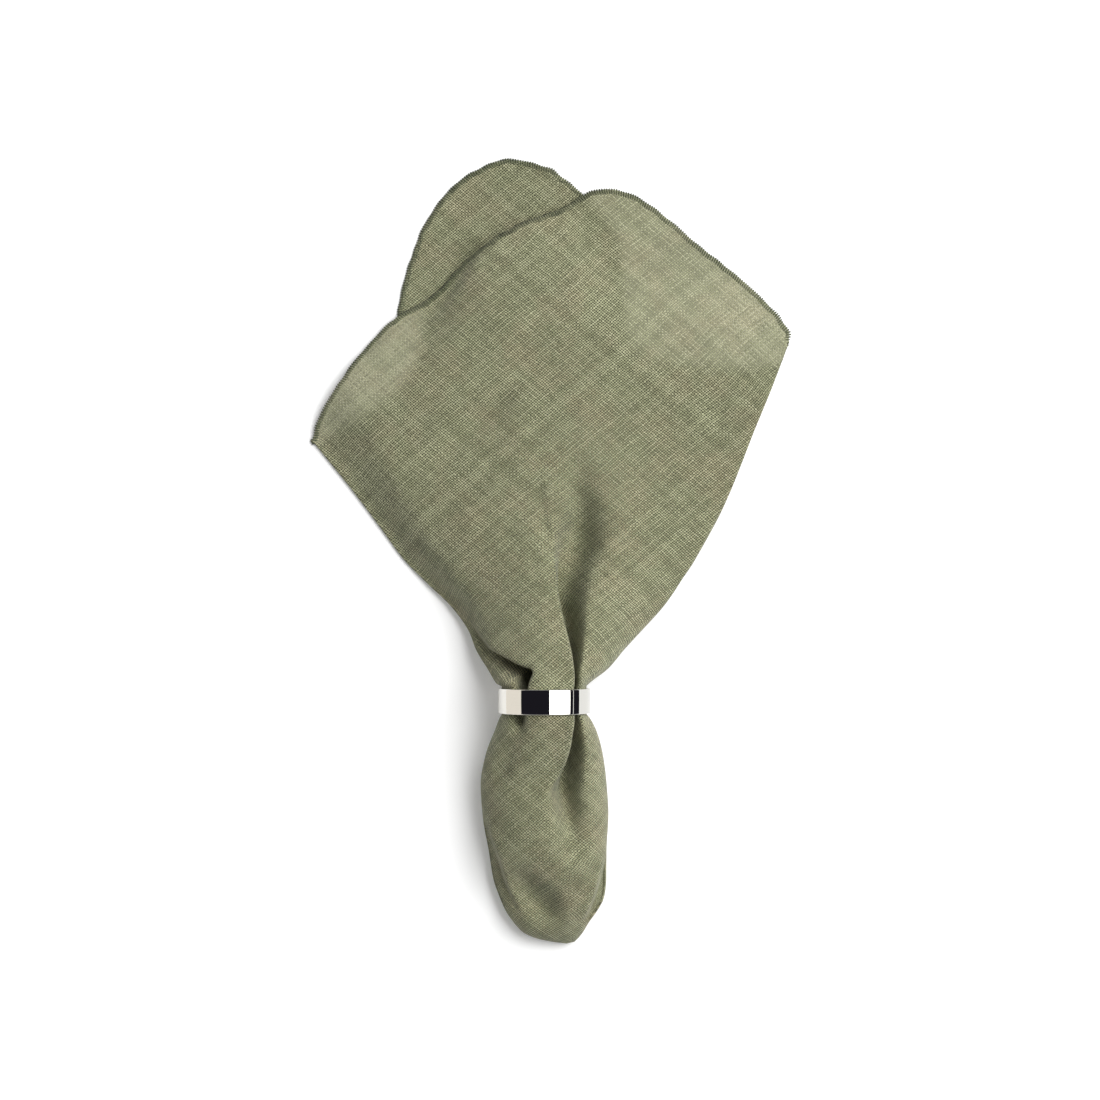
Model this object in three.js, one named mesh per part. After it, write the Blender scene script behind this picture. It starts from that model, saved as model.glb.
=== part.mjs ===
// Linen napkin gathered in a polished napkin ring.
// All sizes are in millimetres, Z points up from the table, and the origin lies on
// the table under the middle of the whole object.
// The square cloth is held at its middle and drawn through the ring. Its middle is
// the closed, rounded tail below the ring, and its four sides are the open edge of
// the fan above the ring. Everywhere in between the cloth is one closed loop laid
// to and fro in eight layers, the first on top and the eighth on the table.

import * as THREE from "three";

// Driving sizes.
const SHEET = 1.0;
const PITCH = 1.7;
const BUNDLE = 17.9;
const RING_X = -2.3;
const RING_Y = -65.0;
const RING_RADIUS = 20.0;
const RING_WALL = 1.2;
const RING_WIDTH = 10.8;
const RING_EDGE = 0.25;
const RING_STEPS = 96;
const SIDE = 0.8;
const TUCK_START = 0.15;
const MOST_PRESSED = 9.0;
const MOST_PRESSED_BELOW = 4.0;
const ORIGIN_X = -0.28;
const ORIGIN_Y = -0.54;

// One row for each section across the tail and the ring, from the tip upwards.
// y: where the section lies.
// left, right: its widest points. low, high: its bottom and top in the middle.
// waist: height of the widest points.
// tuck: how far the inner layers reach across, 0 none, 1 all the way.
const TAIL = [
  { y: -170.4, left: 1.8, right: 10.6, low: 2.4, high: 6.2, waist: 4.2, tuck: 0 },
  { y: -169.0, left: -4.8, right: 12.0, low: 1.2, high: 8.6, waist: 4.6, tuck: 0 },
  { y: -166.4, left: -11.0, right: 14.2, low: 0.7, high: 11.2, waist: 5.0, tuck: 0 },
  { y: -161.8, left: -15.4, right: 16.9, low: 0.5, high: 14.2, waist: 5.6, tuck: 0 },
  { y: -156.6, left: -18.9, right: 20.6, low: 0.5, high: 17.2, waist: 6.4, tuck: 0 },
  { y: -150.6, left: -21.5, right: 23.6, low: 0.5, high: 20.0, waist: 7.2, tuck: 0.15 },
  { y: -143.2, left: -24.1, right: 24.4, low: 0.5, high: 22.6, waist: 8.0, tuck: 0.4 },
  { y: -130.0, left: -26.3, right: 24.5, low: 0.5, high: 25.6, waist: 9.0, tuck: 0.75 },
  { y: -114.8, left: -28.8, right: 25.3, low: 0.5, high: 28.0, waist: 10.0, tuck: 0.95 },
  { y: -101.6, left: -29.6, right: 24.5, low: 0.6, high: 30.0, waist: 11.6, tuck: 1 },
  { y: -88.4, left: -27.3, right: 22.8, low: 0.9, high: 32.8, waist: 14.0, tuck: 1 },
  { y: -78.4, left: -23.5, right: 20.1, low: 1.4, high: 35.6, waist: 17.0, tuck: 1 },
  { y: -72.4, left: -21.2, right: 17.0, low: 2.0, high: 37.4, waist: 19.4, tuck: 1 },
  { y: -70.7, left: -20.2, right: 15.6, low: 2.1, high: 37.9, waist: 20.0, tuck: 1 },
  { y: -59.3, left: -20.2, right: 15.6, low: 2.1, high: 37.9, waist: 20.0, tuck: 1 },
];

// One row for each section of the fan, from the ring to the open edge.
// lx, ly and rx, ry: the folded edges on the left and on the right.
// low, high, waist: as above. round: 1 a round bundle, 0 a flat stack.
// reach: how far the section is drawn out towards the open edge, 0 to 1.
const FAN = [
  { lx: -22.6, ly: -57.7, rx: 17.5, ry: -57.0, low: 1.9, high: 37.2, waist: 18.6, round: 1, reach: 0 },
  { lx: -25.8, ly: -52.0, rx: 24.2, ry: -51.2, low: 1.5, high: 35.6, waist: 15.5, round: 0.88, reach: 0 },
  { lx: -31.4, ly: -43.5, rx: 32.6, ry: -43.1, low: 1.1, high: 33.0, waist: 12.5, round: 0.68, reach: 0.02 },
  { lx: -35.4, ly: -35.0, rx: 40.5, ry: -34.9, low: 0.9, high: 30.0, waist: 10.0, round: 0.46, reach: 0.05 },
  { lx: -43.7, ly: -24.1, rx: 50.5, ry: -24.1, low: 0.7, high: 26.8, waist: 8.0, round: 0.24, reach: 0.09 },
  { lx: -53.3, ly: -15.0, rx: 58.0, ry: -13.3, low: 0.6, high: 23.8, waist: 7.0, round: 0.1, reach: 0.15 },
  { lx: -63.4, ly: -4.6, rx: 64.2, ry: -2.4, low: 0.5, high: 21.0, waist: 6.0, round: 0, reach: 0.23 },
  { lx: -73.0, ly: 8.5, rx: 71.3, ry: 10.7, low: 0.5, high: 18.4, waist: 6.0, round: 0, reach: 0.32 },
  { lx: -82.6, ly: 21.6, rx: 77.8, ry: 23.8, low: 0.5, high: 16.4, waist: 6.0, round: 0, reach: 0.43 },
  { lx: -89.2, ly: 30.3, rx: 83.5, ry: 38.1, low: 0.5, high: 15.0, waist: 6.0, round: 0, reach: 0.56 },
  { lx: -96.1, ly: 39.0, rx: 89.6, ry: 54.3, low: 0.5, high: 14.0, waist: 6.0, round: 0, reach: 0.7 },
  { lx: -100.9, ly: 45.1, rx: 96.1, ry: 70.4, low: 0.5, high: 13.2, waist: 6.0, round: 0, reach: 0.85 },
  { lx: -103.1, ly: 47.7, rx: 103.5, ry: 90.5, low: 0.5, high: 12.6, waist: 6.0, round: 0, reach: 1 },
];

// One row for each layer, from the top down.
// share: height in the bundle, 1 the top and -1 the bottom.
// from: where it starts beside the left edge, as a share of the width.
// rise: how far its open edge rises in the middle. ribs: points across it.
const LAYERS = [
  { share: 1.0, from: 0, rise: 0, ribs: 24 },
  { share: 0.46, from: 0.1, rise: 13, ribs: 7 },
  { share: 0.25, from: 0.1, rise: 21, ribs: 7 },
  { share: 0.03, from: 0.1, rise: 29, ribs: 7 },
  { share: -0.19, from: 0.1, rise: 37, ribs: 7 },
  { share: -0.41, from: 0.1, rise: 44, ribs: 7 },
  { share: -0.64, from: 0.1, rise: 50, ribs: 7 },
  { share: -1.0, from: 0, rise: 0, ribs: 17 },
];

// Open edge of the top layer, from the left fold over the front corner to the right.
// at: share of its length.
const FRONT_EDGE = [
  { at: 0.0, x: -103.1, y: 47.7 },
  { at: 0.023, x: -101.4, y: 53.8 },
  { at: 0.068, x: -95.7, y: 65.2 },
  { at: 0.111, x: -89.2, y: 75.2 },
  { at: 0.165, x: -80.0, y: 87.4 },
  { at: 0.233, x: -66.5, y: 100.9 },
  { at: 0.292, x: -52.1, y: 108.8 },
  { at: 0.38, x: -34.7, y: 126.2 },
  { at: 0.465, x: -15.0, y: 139.7 },
  { at: 0.544, x: 5.5, y: 148.0 },
  { at: 0.601, x: 19.4, y: 155.9 },
  { at: 0.623, x: 25.5, y: 156.7 },
  { at: 0.648, x: 32.5, y: 155.4 },
  { at: 0.684, x: 41.6, y: 151.1 },
  { at: 0.784, x: 63.4, y: 133.6 },
  { at: 0.899, x: 88.3, y: 113.1 },
  { at: 0.97, x: 101.4, y: 98.3 },
  { at: 0.989, x: 104.0, y: 93.5 },
  { at: 1.0, x: 103.5, y: 90.5 },
];

// Open edge of the lowest layer: level at the sides, with the round back corner.
const BACK_EDGE = [
  { at: 0.0, x: -103.1, y: 47.7 },
  { at: 0.06, x: -89.2, y: 53.4 },
  { at: 0.12, x: -75.0, y: 60.0 },
  { at: 0.17, x: -66.5, y: 69.0 },
  { at: 0.21, x: -64.8, y: 84.0 },
  { at: 0.25, x: -66.1, y: 100.1 },
  { at: 0.3, x: -64.7, y: 114.5 },
  { at: 0.35, x: -61.3, y: 128.4 },
  { at: 0.4, x: -55.6, y: 141.5 },
  { at: 0.45, x: -47.3, y: 154.6 },
  { at: 0.5, x: -35.5, y: 165.0 },
  { at: 0.55, x: -19.4, y: 170.7 },
  { at: 0.6, x: -2.0, y: 168.5 },
  { at: 0.65, x: 12.4, y: 158.5 },
  { at: 0.7, x: 22.9, y: 145.8 },
  { at: 0.75, x: 29.9, y: 128.4 },
  { at: 0.8, x: 32.0, y: 108.8 },
  { at: 0.85, x: 36.8, y: 90.0 },
  { at: 0.9, x: 56.9, y: 81.8 },
  { at: 0.95, x: 78.5, y: 79.6 },
  { at: 1.0, x: 98.0, y: 76.5 },
];

// Level of the open edges of the layers in between, before their rise.
const INNER_EDGE = [
  { at: 0.0, x: -103.1, y: 47.7 },
  { at: 0.1, x: -84.0, y: 55.4 },
  { at: 0.2, x: -63.0, y: 63.9 },
  { at: 0.35, x: -34.7, y: 73.9 },
  { at: 0.5, x: -4.1, y: 80.0 },
  { at: 0.65, x: 26.4, y: 83.9 },
  { at: 0.8, x: 59.1, y: 82.2 },
  { at: 0.93, x: 85.2, y: 79.1 },
  { at: 1.0, x: 98.0, y: 81.0 },
];

// Folds pressed into the cloth from above, each a line of points.
// deep: depth at the point. left, right: how far it spreads to either side of the
// line when walked from its first point to its last.
const FOLDS = [
  {
    // Deep pleat from the ring up the middle of the fan.
    left: 2.4,
    right: 11.0,
    line: [
      { x: 12.2, y: -66.0, deep: 3.0 },
      { x: 11.8, y: -56.0, deep: 5.0 },
      { x: 11.4, y: -43.0, deep: 7.5 },
      { x: 11.0, y: -30.0, deep: 7.5 },
      { x: 11.2, y: -17.0, deep: 6.5 },
    ],
  },
  {
    // Soft end of the same pleat.
    left: 7.0,
    right: 12.0,
    line: [
      { x: 11.2, y: -17.0, deep: 0.0 },
      { x: 14.2, y: 0.0, deep: 3.6 },
      { x: 18.5, y: 17.2, deep: 2.6 },
      { x: 21.6, y: 34.7, deep: 1.2 },
      { x: 22.9, y: 52.0, deep: 0.0 },
    ],
  },
  {
    // Pocket on the left of the ring, under the edge of the top layer.
    left: 7.5,
    right: 2.0,
    line: [
      { x: -12.2, y: -70.0, deep: 4.0 },
      { x: -11.0, y: -60.0, deep: 9.0 },
      { x: -12.6, y: -54.0, deep: 9.0 },
      { x: -17.0, y: -49.2, deep: 7.0 },
      { x: -23.6, y: -44.2, deep: 4.5 },
      { x: -32.0, y: -38.6, deep: 1.0 },
    ],
  },
  {
    // Soft trough across the left half of the fan.
    left: 7.0,
    right: 7.0,
    line: [
      { x: -52.0, y: 38.0, deep: 0.0 },
      { x: -34.7, y: 52.0, deep: 1.4 },
      { x: -15.0, y: 65.0, deep: 0.0 },
    ],
  },
  {
    // Pleat down the front of the tail.
    left: 10.0,
    right: 2.6,
    line: [
      { x: 12.2, y: -66.0, deep: 3.0 },
      { x: 12.0, y: -78.0, deep: 5.0 },
      { x: 10.2, y: -91.0, deep: 7.5 },
      { x: 7.2, y: -108.0, deep: 6.0 },
      { x: 5.9, y: -121.0, deep: 3.5 },
      { x: 7.2, y: -139.0, deep: 0.0 },
    ],
  },
  {
    // Lower ledge beside the left edge of the tail.
    left: 1.8,
    right: 6.0,
    line: [
      { x: -28.0, y: -117.0, deep: 0.0 },
      { x: -25.0, y: -127.0, deep: 3.0 },
      { x: -21.5, y: -136.0, deep: 4.5 },
      { x: -18.6, y: -146.0, deep: 4.0 },
      { x: -15.6, y: -155.0, deep: 2.0 },
      { x: -10.5, y: -163.0, deep: 0.0 },
    ],
  },
  {
    // Hollow above the tip of the tail.
    left: 7.0,
    right: 6.0,
    line: [
      { x: -13.0, y: -152.0, deep: 1.5 },
      { x: 1.0, y: -151.0, deep: 2.5 },
    ],
  },
  {
    // The open edge of the front arches over the back corner.
    left: 16.0,
    right: 16.0,
    line: [
      { x: -54.0, y: 112.0, deep: 0.0 },
      { x: -35.0, y: 125.0, deep: -5.0 },
      { x: -14.0, y: 138.0, deep: -2.5 },
      { x: 6.0, y: 146.0, deep: 0.0 },
    ],
  },
];

const clamp = (value, low, high) => Math.min(high, Math.max(low, value));
const mix = (a, b, t) => a + (b - a) * t;

function ease(value) {
  const t = clamp(value, 0, 1);
  return t * t * (3 - 2 * t);
}

// Smooth curve through the rows of a table that never overshoots them.
function read(table, key, place, column) {
  const last = table.length - 1;
  let i = 0;
  while (i < last - 1 && place > table[i + 1][key]) {
    i += 1;
  }
  const slope = (j) => {
    if (j < 0 || j >= last) {
      return 0;
    }
    return (table[j + 1][column] - table[j][column]) / (table[j + 1][key] - table[j][key]);
  };
  const tangent = (j) => {
    if (j === 0) {
      return slope(0);
    }
    if (j === last) {
      return slope(last - 1);
    }
    const a = slope(j - 1);
    const b = slope(j);
    return a * b <= 0 ? 0 : (2 * a * b) / (a + b);
  };
  const span = table[i + 1][key] - table[i][key];
  const t = clamp((place - table[i][key]) / span, 0, 1);
  const t2 = t * t;
  const t3 = t2 * t;
  return (
    (2 * t3 - 3 * t2 + 1) * table[i][column] +
    (t3 - 2 * t2 + t) * span * tangent(i) +
    (3 * t2 - 2 * t3) * table[i + 1][column] +
    (t3 - t2) * span * tangent(i + 1)
  );
}

// All sections in one list, numbered from the tip.
const SECTIONS = [];
for (const row of TAIL) {
  SECTIONS.push({
    at: SECTIONS.length,
    lx: row.left,
    ly: row.y,
    rx: row.right,
    ry: row.y,
    low: row.low,
    high: row.high,
    waist: row.waist,
    tuck: row.tuck,
    round: 1,
    reach: 0,
  });
}
for (const row of FAN) {
  SECTIONS.push({ at: SECTIONS.length, tuck: 1, ...row });
}
const LAST = SECTIONS.length - 1;
const COLUMNS = ["lx", "ly", "rx", "ry", "low", "high", "waist", "tuck", "round", "reach"];

function section(at) {
  const row = {};
  for (const column of COLUMNS) {
    row[column] = read(SECTIONS, "at", at, column);
  }
  return row;
}

// Depth of the pressed folds at a place.
function pressed(x, y) {
  let sum = 0;
  for (const fold of FOLDS) {
    let best = Infinity;
    let depth = 0;
    for (let i = 0; i + 1 < fold.line.length; i += 1) {
      const a = fold.line[i];
      const b = fold.line[i + 1];
      const ex = b.x - a.x;
      const ey = b.y - a.y;
      const t = clamp(((x - a.x) * ex + (y - a.y) * ey) / (ex * ex + ey * ey), 0, 1);
      const dx = x - a.x - t * ex;
      const dy = y - a.y - t * ey;
      const far = Math.hypot(dx, dy);
      if (far < best) {
        best = far;
        const wide = ex * dy - ey * dx > 0 ? fold.left : fold.right;
        depth = mix(a.deep, b.deep, t) * Math.exp(-((far / wide) ** 2));
      }
    }
    sum += depth;
  }
  return sum;
}

// Rise of the open edges of the inner layers at a share of the width.
function bell(u) {
  const s = clamp((u - 0.45) / 0.21, -1, 1);
  return (1 - s * s) ** 2;
}

// Where the open edge of a layer lies.
function openEdge(index, u) {
  const layer = LAYERS[index];
  if (index === 0) {
    return [read(FRONT_EDGE, "at", u, "x"), read(FRONT_EDGE, "at", u, "y")];
  }
  if (index === LAYERS.length - 1) {
    return [read(BACK_EDGE, "at", u, "x"), read(BACK_EDGE, "at", u, "y")];
  }
  const x = read(INNER_EDGE, "at", u, "x");
  const y = read(INNER_EDGE, "at", u, "y") + layer.rise * bell(u);
  const end = ease((u - 0.85) / 0.15);
  const row = BACK_EDGE[BACK_EDGE.length - 1];
  return [mix(x, row.x, end), mix(y, row.y, end)];
}

// Is a lower layer under this place, 1 yes and 0 no, with a soft border.
function across(index, u) {
  const layer = LAYERS[index];
  return layer.from > 0 ? ease((u - layer.from + 0.09) / 0.06) : 1;
}

function along(index, x, y) {
  const u = (x + 103.1) / 206.6;
  if (index === LAYERS.length - 1) {
    const level = 1 - ease((y - read(INNER_EDGE, "at", u, "y") - 14) / 14);
    const corner = ease((x + 78) / 10) * ease((48 - x) / 10);
    return Math.max(level, corner);
  }
  const edge = read(INNER_EDGE, "at", u, "y") + LAYERS[index].rise * bell(u);
  return 1 - ease((y - edge - 14) / 14);
}

// A bundle that lies low is flatter underneath.
function flatness(row) {
  return mix(4, 2, clamp((row.waist - 10) / 10, 0, 1));
}

// A point of the cloth: layer, share of the width, section.
function point(index, u, row) {
  const wide = mix(1.3, 0.5 * (1 - SIDE) * (row.rx - row.lx), row.round);
  const lx = row.lx + wide;
  const rx = row.rx - wide;
  let x = mix(lx, rx, u);
  let y = mix(row.ly, row.ry, u);
  if (row.reach > 0) {
    const edge = openEdge(index, u);
    const end = SECTIONS[LAST];
    x += row.reach * (edge[0] - mix(end.lx + 1.3, end.rx - 1.3, u));
    y += row.reach * (edge[1] - mix(end.ly, end.ry, u));
  }
  // Round bundle.
  const s = SIDE * (2 * u - 1);
  const top = row.waist + (row.high - row.waist) * Math.sqrt(1 - s * s);
  const bottom = row.waist - (row.waist - row.low) * Math.sqrt(1 - Math.abs(s) ** flatness(row));
  const centre = 0.5 * (row.high + row.low);
  const middle = mix(centre, row.waist, 0.9 * s * s);
  const half = 0.5 * (row.high - row.low) * (1 - 0.45 * s * s);
  let bundle = middle + LAYERS[index].share * half;
  if (index === 0) {
    bundle = top;
  }
  if (index === LAYERS.length - 1) {
    bundle = bottom;
  }
  // Flat stack.
  let below = 0;
  let all = 0;
  for (let j = 1; j < LAYERS.length; j += 1) {
    let there = across(j, u);
    if (row.reach > 0.3) {
      there *= along(j, x, y);
    }
    all += there;
    if (j > index) {
      below += there;
    }
  }
  const lens = Math.max(0, 1 - (2 * u - 1) ** 2) ** 1.5;
  const air = Math.max(0, row.high - row.low - 7 * PITCH) * lens;
  const share = (all > 0.001 ? below / all : 0) * (index === 0 ? 1 : 0.6);
  const stack = row.low + PITCH * below + air * share;
  const z = mix(stack, bundle, row.round);
  const height = mix(PITCH * all + air, top - bottom, row.round);
  const part = mix(share, clamp((z - bottom) / (top - bottom), 0, 1), row.round);
  const room = Math.max(0, height - PITCH * mix(all, 7, row.round));
  const depth = Math.min(pressed(x, y), index === 0 ? MOST_PRESSED : MOST_PRESSED_BELOW);
  const press = depth > 0 ? Math.min(depth, room) : depth;
  return [x, y, z - press * part];
}

// Half width of the round bundle at a height, as a share of its full half width.
function girth(z, row) {
  if (z > row.waist) {
    return Math.sqrt(Math.max(0, 1 - ((z - row.waist) / (row.high - row.waist)) ** 2));
  }
  return Math.max(0, 1 - ((row.waist - z) / (row.waist - row.low)) ** 2) ** (1 / flatness(row));
}

// One closed loop around a section.
function loop(at) {
  const row = section(at);
  const centre = 0.5 * (row.lx + row.rx);
  const half = 0.5 * (row.rx - row.lx);
  const start = 1 - clamp(row.tuck / TUCK_START, 0, 1);
  const points = [];
  const count = LAYERS.length;
  const ends = [];
  const brink = [point(0, 1, row)[2], point(count - 1, 1, row)[2]];
  for (let i = 0; i < count; i += 1) {
    const layer = LAYERS[i];
    const inner = i > 0 && i < count - 1;
    const from = inner ? mix(1, layer.from, row.tuck) : 0;
    const line = [];
    for (let k = 0; k < layer.ribs; k += 1) {
      const t = k / (layer.ribs - 1);
      const v = i % 2 === 0 ? t : 1 - t;
      const u = mix(from, 1, inner ? 1 - (1 - v) ** 1.5 : v);
      const p = point(i, u, row);
      if (inner && start > 0) {
        const down = (i - 1 + (k + 1) / (layer.ribs + 1)) / (count - 2);
        p[2] = mix(p[2], mix(brink[0], brink[1], down), start);
        p[0] = mix(p[0], centre + half * Math.max(SIDE, girth(p[2], row)), start);
      }
      line.push(p);
    }
    ends.push(line);
  }
  for (let i = 0; i < count; i += 1) {
    points.push(...ends[i]);
    if (i === count - 1) {
      break;
    }
    const a = ends[i][ends[i].length - 1];
    const b = ends[i + 1][0];
    const side = i % 2 === 0 ? 1 : -1;
    const bulge = 0.5 * Math.abs(a[2] - b[2]) * (1 - start);
    for (const angle of [60, 120]) {
      const turn = (angle * Math.PI) / 180;
      const t = 0.5 - 0.5 * Math.cos(turn);
      const p = [0, 1, 2].map((axis) => mix(a[axis], b[axis], t));
      p[0] += side * Math.sin(turn) * bulge;
      const wall = centre + half * Math.max(SIDE, girth(p[2], row));
      if (side > 0) {
        p[0] = mix(p[0], Math.min(p[0], Math.max(wall, a[0], b[0])), row.round);
      }
      p[0] = mix(p[0], wall, start);
      points.push(p);
    }
  }
  // The left side wraps round from the lowest layer to the top one.
  const a = ends[count - 1][ends[count - 1].length - 1];
  const b = ends[0][0];
  for (let k = 1; k < 6; k += 1) {
    const turn = (k * Math.PI) / 6;
    const t = 0.5 - 0.5 * Math.cos(turn);
    const p = [0, 1, 2].map((axis) => mix(a[axis], b[axis], t));
    const thin = 0.5 * (b[2] - a[2]) * Math.sin(turn);
    const round = p[0] - centre + half * girth(p[2], row);
    p[0] -= mix(thin, Math.max(0, round), row.round);
    points.push(p);
  }
  // Inside the ring nothing stands out of the round bundle.
  if (Math.abs(row.ly - RING_Y) < 0.5 * RING_WIDTH + 1.2) {
    for (const p of points) {
      const far = Math.hypot(p[0] - RING_X, p[2] - RING_RADIUS);
      const scale = Math.min(1, BUNDLE / far);
      p[0] = RING_X + (p[0] - RING_X) * scale;
      p[2] = RING_RADIUS + (p[2] - RING_RADIUS) * scale;
    }
  }
  return points;
}

function subtract(a, b) {
  return [a[0] - b[0], a[1] - b[1], a[2] - b[2]];
}

function cross(a, b) {
  return [a[1] * b[2] - a[2] * b[1], a[2] * b[0] - a[0] * b[2], a[0] * b[1] - a[1] * b[0]];
}

// The cloth as one closed sheet of even thickness, open at its four sides.
function napkinGeometry() {
  const loops = [];
  for (let i = 0; i <= LAST; i += 1) {
    loops.push(loop(i));
  }
  const ribs = loops[0].length;
  const rows = loops.length;
  const first = SECTIONS[0];
  const tip = [0.5 * (first.lx + first.rx), first.ly - 0.7, first.waist];
  const positions = [];
  const push = (p, n, side) => {
    const size = Math.hypot(n[0], n[1], n[2]) || 1;
    const far = (side * 0.5 * SHEET) / size;
    positions.push(p[0] + n[0] * far - ORIGIN_X, p[1] + n[1] * far - ORIGIN_Y, p[2] + n[2] * far);
  };
  for (const side of [1, -1]) {
    for (let r = 0; r < rows; r += 1) {
      for (let c = 0; c < ribs; c += 1) {
        const before = loops[r][(c + ribs - 1) % ribs];
        const after = loops[r][(c + 1) % ribs];
        const down = loops[Math.max(0, r - 1)][c];
        const up = loops[Math.min(rows - 1, r + 1)][c];
        push(loops[r][c], cross(subtract(after, before), subtract(up, down)), side);
      }
    }
    push(tip, [0, -1, 0], side);
  }
  const index = [];
  const half = rows * ribs + 1;
  for (const side of [0, 1]) {
    const base = side * half;
    for (let r = 0; r < rows; r += 1) {
      for (let c = 0; c < ribs; c += 1) {
        const d = (c + 1) % ribs;
        const a = base + r * ribs + c;
        const b = base + r * ribs + d;
        if (r === 0) {
          const t = base + rows * ribs;
          index.push(...(side === 0 ? [t, b, a] : [t, a, b]));
        }
        if (r + 1 < rows) {
          const e = a + ribs;
          const f = b + ribs;
          index.push(...(side === 0 ? [a, b, e, b, f, e] : [a, e, b, b, e, f]));
        }
      }
    }
  }
  for (let c = 0; c < ribs; c += 1) {
    const d = (c + 1) % ribs;
    const a = (rows - 1) * ribs + c;
    const b = (rows - 1) * ribs + d;
    index.push(a, b, a + half, b, b + half, a + half);
  }
  const geometry = new THREE.BufferGeometry();
  geometry.setAttribute("position", new THREE.Float32BufferAttribute(positions, 3));
  geometry.setIndex(index);
  geometry.computeVertexNormals();
  return geometry;
}

// A plain round band lying on its side, its axis along Y, its edges a little eased.
function ringGeometry() {
  const outer = RING_RADIUS;
  const inner = RING_RADIUS - RING_WALL;
  const half = 0.5 * RING_WIDTH;
  const eased = RING_EDGE;
  const profile = [
    [inner, -half + eased],
    [inner + eased, -half],
    [outer - eased, -half],
    [outer, -half + eased],
    [outer, half - eased],
    [outer - eased, half],
    [inner + eased, half],
    [inner, half - eased],
  ];
  const positions = [];
  const index = [];
  for (let i = 0; i < RING_STEPS; i += 1) {
    const turn = ((i + 0.5) * 2 * Math.PI) / RING_STEPS;
    const grow = 1 / Math.cos(Math.PI / RING_STEPS);
    for (const [radius, y] of profile) {
      positions.push(
        RING_X + radius * grow * Math.sin(turn) - ORIGIN_X,
        RING_Y + y - ORIGIN_Y,
        RING_RADIUS + radius * grow * Math.cos(turn),
      );
    }
  }
  const n = profile.length;
  for (let i = 0; i < RING_STEPS; i += 1) {
    const j = (i + 1) % RING_STEPS;
    for (let k = 0; k < n; k += 1) {
      const m = (k + 1) % n;
      index.push(i * n + k, j * n + k, j * n + m);
      index.push(i * n + k, j * n + m, i * n + m);
    }
  }
  const geometry = new THREE.BufferGeometry();
  geometry.setAttribute("position", new THREE.Float32BufferAttribute(positions, 3));
  geometry.setIndex(index);
  geometry.computeVertexNormals();
  return geometry;
}

const linen = new THREE.MeshStandardMaterial({ color: 0x8b9168, roughness: 0.9, metalness: 0 });
const metal = new THREE.MeshStandardMaterial({ color: 0xd9d9d6, roughness: 0.08, metalness: 1 });

const napkin = new THREE.Mesh(napkinGeometry(), linen);
napkin.name = "napkin";

const ring = new THREE.Mesh(ringGeometry(), metal);
ring.name = "ring";

const part = new THREE.Group();
part.name = "napkin_in_ring";
part.add(napkin);
part.add(ring);

export default part;
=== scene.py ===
# Linen napkin gathered in a polished napkin ring, lying on a plain pale table.
# The tables hold millimetres, as the solids do, and MM turns them into metres.
# The square cloth is held at its middle and drawn through the ring. Its middle is
# the closed tail below the ring, and its four sides are the open edge of the fan.
# In between it is one closed loop laid to and fro in eight layers.

import math

import bpy
import numpy as np
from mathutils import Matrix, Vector


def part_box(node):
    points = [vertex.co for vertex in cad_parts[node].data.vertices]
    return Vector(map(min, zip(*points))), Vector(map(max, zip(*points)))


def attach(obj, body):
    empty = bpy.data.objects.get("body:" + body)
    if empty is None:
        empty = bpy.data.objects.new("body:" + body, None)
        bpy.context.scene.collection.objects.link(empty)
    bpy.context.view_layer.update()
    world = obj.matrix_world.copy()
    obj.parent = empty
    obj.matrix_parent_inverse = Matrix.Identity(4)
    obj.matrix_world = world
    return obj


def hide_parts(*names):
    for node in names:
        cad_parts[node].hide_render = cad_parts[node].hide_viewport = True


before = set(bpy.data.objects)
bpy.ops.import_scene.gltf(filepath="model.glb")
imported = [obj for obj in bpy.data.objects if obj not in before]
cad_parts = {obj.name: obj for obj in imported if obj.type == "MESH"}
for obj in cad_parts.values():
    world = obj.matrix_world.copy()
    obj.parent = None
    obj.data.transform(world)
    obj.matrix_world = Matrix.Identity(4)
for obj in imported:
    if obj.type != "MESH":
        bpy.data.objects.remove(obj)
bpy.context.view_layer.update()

# Driving sizes, in millimetres: the flat cloth, its layers, the bundle and the ring.
MM = 0.001
FLAT_SIDE = 500.0
SHEET = 0.5
PITCH = 1.2
PRESSED_PITCH = 0.65
BUNDLE = 18.1
RING_X = -2.3
RING_Y = -65.0
RING_RADIUS = 20.0
RING_WIDTH = 10.8
# The middle of the whole object, which is the frame's origin.
ORIGIN_X = -0.28
ORIGIN_Y = -0.54
# Folds: the deepest of them, and where and how widely a lip leans out beside its line.
MOST_PRESSED = 24.0
LIP_PLACE = 1.9
LIP_SPREAD = 1.3
# Turns of the layers at the sides, and the front's turn back up inside the bundle.
FOLD_STEPS = 5
WRAP_STEPS = 8
EDGE_TURN = 1.3
HAIRPIN = 1.6
# Steps between sections, and ribs left of the pocket and from there to the pleat.
STATION_STEP = 2.42
STATION_STEP_AT_RING = 1.2
POCKET_RIBS = 26
PLEAT_RIBS = 54
RIB_CROWDING = 0.65
# How far past its open edge a layer still holds up what lies on it.
SUPPORT_FROM = 5.0
SUPPORT_RAMP = 34.0
# Reach from which the open edges of the layers are felt.
OPEN_FROM = 0.3
# Share of the tuck over which the inner layers leave the wall of the tail's tip.
TUCK_START = 0.15
# Inner layers of the round bundle: how they bend to its waist and close to its sides.
INNER_BEND = 0.9
INNER_CLOSE = 0.45
# Air between the layers of the fan: how it thins to the sides, how many layers it
# needs, and the inner layers' part in it.
AIR_POWER = 1.25
AIR_LAYERS = 2.5
INNER_AIR = 0.6
# Where along a section's width the layers crowd under a pressed fold.
CROWD_FROM = 0.06
CROWD_RAMP = 0.12
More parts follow.
